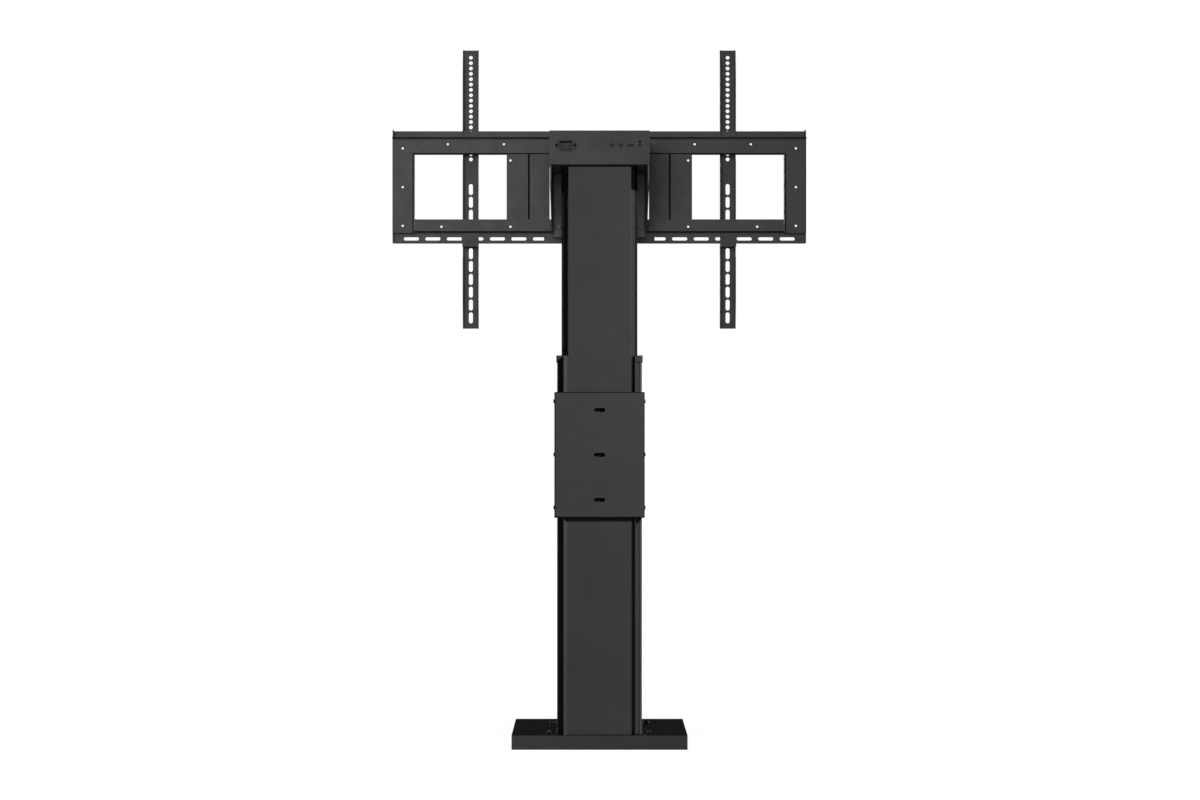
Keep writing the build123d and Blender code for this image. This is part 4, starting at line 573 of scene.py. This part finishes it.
def bracket_screw_piece():
    """Six button screws that point inwards."""
    low, high, middle = node_middle("bracket_screws")
    seat = high.x - BUTTON_SEAT
    inner = min(vertex.co.x for vertex in nodes["bracket_screws"].data.vertices if vertex.co.x > 0)
    rings = screw_rings(
        BUTTON_HEAD, BUTTON_HEIGHT, BUTTON_SHANK, seat - inner,
        BUTTON_KEY, BUTTON_KEY_DEPTH, HEXAGON, BUTTON_PITCH, BUTTON_PLAIN,
    )
    mesh = bmesh.new()
    first = low.z + BUTTON_HEAD / 2
    pitch = (high.z - low.z - BUTTON_HEAD) / (BUTTON_COUNT - 1)
    for hand in (-1, 1):
        for step in range(BUTTON_COUNT):
            place = (hand * seat, middle.y, first + pitch * step)
            turn_rings(mesh, place, (hand, 0.0, 0.0), rings)
    return finished_piece(
        mesh, "bracket_button_screws", "base", ["bracket_screws"], black_oxide
    )


bracket_screw_heads = bracket_screw_piece()

# %% [markdown]
# Two small pan head screws hold the mains inlet's flange. The cross could be cut out of the head
# afterwards, but rings that follow a cross give it at once and leave the mesh closed.

# %% Inlet screws
INLET_HEAD = 5.6 * MM
INLET_HEAD_HEIGHT = 1.2 * MM
INLET_RECESS = 3.4 * MM
INLET_RECESS_DEPTH = 0.9 * MM
INLET_SHANK = 3.0 * MM
INLET_PITCH = 0.5 * MM
INLET_PLAIN = 3.0 * MM


def inlet_screw_piece():
    """Two pan head screws with a cross recess."""
    low, high, middle = node_middle("inlet_screws")
    seat = low.y + INLET_HEAD_HEIGHT
    rings = screw_rings(
        INLET_HEAD, INLET_HEAD_HEIGHT, INLET_SHANK, high.y - seat,
        INLET_RECESS, INLET_RECESS_DEPTH, CROSS, INLET_PITCH, INLET_PLAIN,
    )
    mesh = bmesh.new()
    for x in (low.x + INLET_HEAD / 2, high.x - INLET_HEAD / 2):
        turn_rings(mesh, (x, seat, middle.z), TOWARDS_WALL, rings)
    return finished_piece(
        mesh, "inlet_cross_screws", "lift", ["inlet_screws"], black_oxide
    )


inlet_screw_heads = inlet_screw_piece()

# %% [markdown]
# The bolt that locks an arm is turned from the display side with a hexagon key. Its wide low head
# bears on the arm's web across the slot.

# %% Lock bolts
LOCK_HEAD = 14.0 * MM
LOCK_HEIGHT = 2.2 * MM
LOCK_KEY = 4.0 * MM
LOCK_KEY_DEPTH = 1.5 * MM
LOCK_SHANK = 6.0 * MM
LOCK_PITCH = 1.0 * MM
LOCK_PLAIN = 2.6 * MM


def lock_bolt_piece(side):
    """One low headed bolt with a hexagon socket."""
    name = "lock_bolt_" + side
    low, high, middle = node_middle(name)
    seat = high.y - LOCK_HEIGHT
    rings = screw_rings(
        LOCK_HEAD, LOCK_HEIGHT, LOCK_SHANK, seat - low.y,
        LOCK_KEY, LOCK_KEY_DEPTH, HEXAGON, LOCK_PITCH, LOCK_PLAIN,
    )
    mesh = bmesh.new()
    turn_rings(mesh, (middle.x, seat, middle.z), TOWARDS_DISPLAY, rings)
    return finished_piece(
        mesh, "lock_socket_bolt_" + side, side + "_arm", [name], black_oxide
    )


lock_bolts = [lock_bolt_piece(side) for side in ("left", "right")]

# %% [markdown]
# The lead screw's trapezoidal thread is rolled into a round bar: 20 mm across with an 8 mm lead.
# A point of its surface lies at a depth that depends only on how far it is along the helix. The
# journal at the top is ground plain.

# %% Lead screw
SCREW_LEAD = 8.0 * MM
SCREW_STARTS = 2
SCREW_DEPTH = 2.2 * MM
SCREW_RADIUS = 10.0 * MM
SCREW_SIDES = 24
SCREW_STEP = 0.8 * MM
SCREW_FADE = 2 * MM
CREST_SHARE = 0.32
FLANK_SHARE = 0.3
JOURNAL_RADIUS = 7.5 * MM
JOURNAL_LENGTH = 34.3 * MM


def thread_depth(along):
    """Depth of a trapezoidal groove, from 0 to 1, at a share of the pitch."""
    from_crest = abs((along % 1.0) - 0.5) * 2.0
    return min(max((from_crest - CREST_SHARE) / FLANK_SHARE, 0.0), 1.0)


def screw_stations(bottom, top):
    """Height, radius and thread depth of every ring, from the bar's foot to the journal's end."""
    shoulder = top - JOURNAL_LENGTH
    count = int((shoulder - bottom) / SCREW_STEP)
    stations = []
    for step in range(count + 1):
        height = bottom + (shoulder - bottom) * step / count
        fade = min(1.0, (height - bottom) / SCREW_FADE, (shoulder - height) / SCREW_FADE)
        stations.append((height, SCREW_RADIUS, SCREW_DEPTH * fade))
    stations += [(shoulder, JOURNAL_RADIUS, 0.0), (top - CHAMFER, JOURNAL_RADIUS, 0.0)]
    stations.append((top, JOURNAL_RADIUS - CHAMFER, 0.0))
    return stations


def lead_screw_piece():
    """Threaded bar with a plain journal."""
    low, high, middle = node_middle("spindle")
    mesh = bmesh.new()
    loops = []
    for height, radius, depth in screw_stations(low.z, high.z):
        loop = []
        for side in range(SCREW_SIDES):
            share = side / SCREW_SIDES
            reach = radius - depth * thread_depth(SCREW_STARTS * (height / SCREW_LEAD - share))
            angle = math.tau * share
            spot = (middle.x + reach * math.cos(angle), middle.y + reach * math.sin(angle), height)
            loop.append(mesh.verts.new(spot))
        loops.append(loop)
    skin_loops(mesh, loops)
    return finished_piece(
        mesh, "lead_screw", "spindle_drive", ["spindle"], machined_steel
    )


lead_screw = lead_screw_piece()

# %% [markdown]
# The picture is taken level, at about the height of the lower column's top, from well back. The
# camera stands a little left of the middle and its view is shifted, so upright edges stay upright.

# %% Camera
CAMERA_X = -13 * MM
CAMERA_Y = -3813 * MM
CAMERA_Z = 728.2 * MM
FOCAL_LENGTH = 50.0
SENSOR_WIDTH = 36.0
SHIFT_X = 0.00525
SHIFT_Y = 0.01875

lens = bpy.data.cameras.new("camera")
lens.lens = FOCAL_LENGTH
lens.sensor_width = SENSOR_WIDTH
lens.shift_x = SHIFT_X
lens.shift_y = SHIFT_Y
camera = bpy.data.objects.new("camera", lens)
camera.location = (CAMERA_X, CAMERA_Y, CAMERA_Z)
camera.rotation_euler = (math.radians(90.0), 0.0, 0.0)
bpy.context.scene.collection.objects.link(camera)
bpy.context.scene.camera = camera
print("camera", tuple(round(value, 3) for value in camera.location))

# %% [markdown]
# The picture is lit like a studio shot of separate parts. The columns and the wall bracket take a
# hard light from the right and above, so the outer ledge on the left falls black. The frame and
# the housing take a broad light from the near left, which fades towards the right end. Small
# fills reach the sockets, the hollow of the carriage bracket and the housing's underside, which
# the main lamps leave black. The foot takes a low light that leaves its top dark. Each of these
# lamps lights only its own pieces and is near the level at which a colour renders about as it is
# written. Lamps at both sides, above and behind show the other sides in other views.

# %% Lamps
UPPER_PIECES = ["upper_column", "glide_strip_left", "glide_strip_right"]
LOWER_PIECES = [
    "lower_column", "wall_bracket", "guide_cap_left", "guide_cap_right", "bracket_spacers",
]
FOOT_PIECES = ["base_cover", "base_bolts", "base_washers"]
SOCKET_PIECES = ["mains_inlet", "round_sockets", "flat_port", "jack_socket"]
LIFT_MIDDLE = (0.0, 0.0, 0.8)
HEAD_MIDDLE = (-0.1, 0.05, 1.28)
SOCKETS_MIDDLE = (0.0, -0.1, 1.35)
FOOT_FRONT = (0.0, -0.1, 0.02)
FOOT_BACK = (0.0, 0.1, 0.02)
OPEN_LEVEL = math.pi ** 2


def lamp(name, place, aim, size, level, pieces):
    """A round area lamp on these pieces. At level 1 a face turned to it renders as its colour."""
    place = Vector(place)
    aim = Vector(aim)
    reach = (aim - place).length
    light = bpy.data.lights.new(name, "AREA")
    light.shape = "DISK"
    light.size = size
    light.energy = OPEN_LEVEL * reach ** 2 * level
    piece = bpy.data.objects.new(name, light)
    piece.location = place
    piece.rotation_euler = (aim - place).to_track_quat("-Z", "Y").to_euler()
    piece.visible_camera = False
    bpy.context.scene.collection.objects.link(piece)
    lit = bpy.data.collections.new("lit by " + name)
    for lit_piece in pieces:
        lit.objects.link(lit_piece)
    piece.light_linking.receiver_collection = lit


def placed(azimuth, rise, reach, aim):
    """A place seen from the aim: azimuth 0 is the camera's side, 90 the right, rise in degrees."""
    turn = math.radians(azimuth)
    lift = math.radians(rise)
    flat = reach * math.cos(lift)
    return (
        aim[0] + flat * math.sin(turn), aim[1] - flat * math.cos(turn),
        aim[2] + reach * math.sin(lift),
    )


def named(names):
    """The nodes with these names."""
    return [nodes[name] for name in names]


def light_the_lift():
    """Places every lamp. Each row ends with the lamp's size, its level and what it lights."""
    upper, lower, foot = named(UPPER_PIECES), named(LOWER_PIECES), named(FOOT_PIECES)
    sockets = named(SOCKET_PIECES)
    hollow = [nodes["carriage_bracket"], carriage_screw_heads]
    dark = [nodes["status_lamp"], bracket_screw_heads, inlet_screw_heads]
    apart = upper + lower + foot + hollow + sockets + dark
    others = [piece for piece in nodes.values() if piece not in apart]
    others += [lead_screw] + lock_bolts
    lift = upper + lower + hollow + sockets + dark + others
    middle, head = LIFT_MIDDLE, HEAD_MIDDLE
    lamp("upper_key", placed(66.0, 15.0, 6.0, middle), middle, 0.7, 2.11, upper)
    lamp("lower_key", placed(46.0, 28.0, 6.0, middle), middle, 1.6, 1.36, lower)
    lamp("frame_key", placed(-14.0, 10.0, 2.4, head), head, 1.9, 0.63, others)
    lamp("frame_fill", placed(10.0, 0.0, 3.4, head), head, 1.0, 0.1, others)
    lamp("socket_fill", (0.0, -3.4, 0.8), SOCKETS_MIDDLE, 0.3, 0.78, sockets)
    lamp("hollow_fill", placed(-4.0, 8.0, 3.0, head), head, 2.2, 1.0, hollow)
    lamp("under_fill", (0.0, -1.5, 0.2), head, 0.6, 0.17, named(["housing_floor"]))
    lamp("foot_key", (-0.5, -3.0, 0.2), FOOT_FRONT, 0.6, 0.38, foot)
    lamp("foot_left", (-3.0, 1.9, 0.1), FOOT_BACK, 0.4, 0.45, foot)
    lamp("foot_right", (3.0, 1.9, 0.1), FOOT_BACK, 0.4, 0.45, foot)
    lamp("back_left", (-1.8, 3.2, 1.6), middle, 1.2, 0.5, lift)
    lamp("back_right", (1.8, 3.2, 1.6), middle, 1.2, 0.5, lift)
    lamp("side_left", placed(-102.0, 12.0, 4.0, middle), middle, 1.0, 0.5, lift)
    lamp("side_right", placed(102.0, 12.0, 4.0, middle), middle, 1.0, 0.35, lift)
    lamp("top_fill", placed(180.0, 78.0, 4.0, middle), middle, 1.0, 0.4, lift)


light_the_lift()

# %% [markdown]
# The background is pure white to the camera, but a white world would flood a black object with
# light. So the world is white only to the camera and dim for light and gloss. The floor has a
# white glow of its own that is weaker near the base, where the object's soft shadow stays.

# %% White surroundings
WHITE = (1.0, 1.0, 1.0, 1.0)
SKY_LIGHT = 0.03
SKY_GLOSS = 0.05
FLOOR_HALF = 14.0
FLOOR_DROP = 0.5 * MM
FLOOR_COLOUR = (0.16, 0.16, 0.16, 1.0)
FLOOR_ROUGH = 0.9
GLOW_NEAR = 0.88
GLOW_START = 0.25
GLOW_END = 0.9
SHADOW_LAMP_PLACE = (0.0, -0.6, 3.4)
SHADOW_LAMP_AIM = (0.0, 0.0, 0.0)


def white_world():
    """White to the camera, dim to everything else."""
    world = bpy.data.worlds.new("sky")
    bpy.context.scene.world = world
    world.use_nodes = True
    tree = world.node_tree
    tree.nodes.clear()
    path = tree.nodes.new("ShaderNodeLightPath")
    gloss = tree.nodes.new("ShaderNodeMath")
    gloss.operation = "MULTIPLY_ADD"
    gloss.inputs[1].default_value = SKY_GLOSS - SKY_LIGHT
    gloss.inputs[2].default_value = SKY_LIGHT
    tree.links.new(path.outputs["Is Glossy Ray"], gloss.inputs[0])
    level = tree.nodes.new("ShaderNodeMath")
    level.operation = "MAXIMUM"
    tree.links.new(gloss.outputs[0], level.inputs[0])
    clear = tree.nodes.new("ShaderNodeMath")
    clear.operation = "MAXIMUM"
    tree.links.new(path.outputs["Is Camera Ray"], clear.inputs[0])
    tree.links.new(path.outputs["Is Transmission Ray"], clear.inputs[1])
    tree.links.new(clear.outputs[0], level.inputs[1])
    light = tree.nodes.new("ShaderNodeBackground")
    light.inputs["Color"].default_value = WHITE
    tree.links.new(level.outputs[0], light.inputs["Strength"])
    output = tree.nodes.new("ShaderNodeOutputWorld")
    tree.links.new(light.outputs[0], output.inputs["Surface"])


def floor_finish():
    """A matt grey with a white glow for the camera that grows away from the base."""
    finish = Finish("floor_paint")
    path = finish.add("ShaderNodeLightPath")
    away = finish.add("ShaderNodeVectorMath", operation="LENGTH")
    finish.put(away, 0, finish.place)
    near = finish.spread(away.outputs["Value"], GLOW_NEAR, 1.0, GLOW_START, GLOW_END)
    glow = finish.calc("MULTIPLY", near, path.outputs["Is Camera Ray"])
    finish.put(finish.shader, "Base Color", FLOOR_COLOUR)
    finish.put(finish.shader, "Roughness", FLOOR_ROUGH)
    finish.put(finish.shader, "Specular IOR Level", 0.0)
    finish.put(finish.shader, "Emission Color", WHITE)
    finish.put(finish.shader, "Emission Strength", glow)
    return finish.material


def floor_piece():
    """A wide pale floor just under the base, with a lamp of its own for the shadow."""
    far, near, low = FLOOR_HALF, -FLOOR_HALF, -FLOOR_DROP
    mesh = bpy.data.meshes.new("floor")
    corners = [(near, near, low), (far, near, low), (far, far, low), (near, far, low)]
    mesh.from_pydata(corners, [], [(0, 1, 2, 3)])
    mesh.materials.append(floor_finish())
    piece = bpy.data.objects.new("floor", mesh)
    bpy.context.scene.collection.objects.link(piece)
    lamp("floor_light", SHADOW_LAMP_PLACE, SHADOW_LAMP_AIM, 2.2, 1.0, [piece])


white_world()
floor_piece()
bpy.context.scene.view_settings.view_transform = "Standard"
print("world:", bpy.context.scene.world.name, "floor:", 2 * FLOOR_HALF, "m wide")
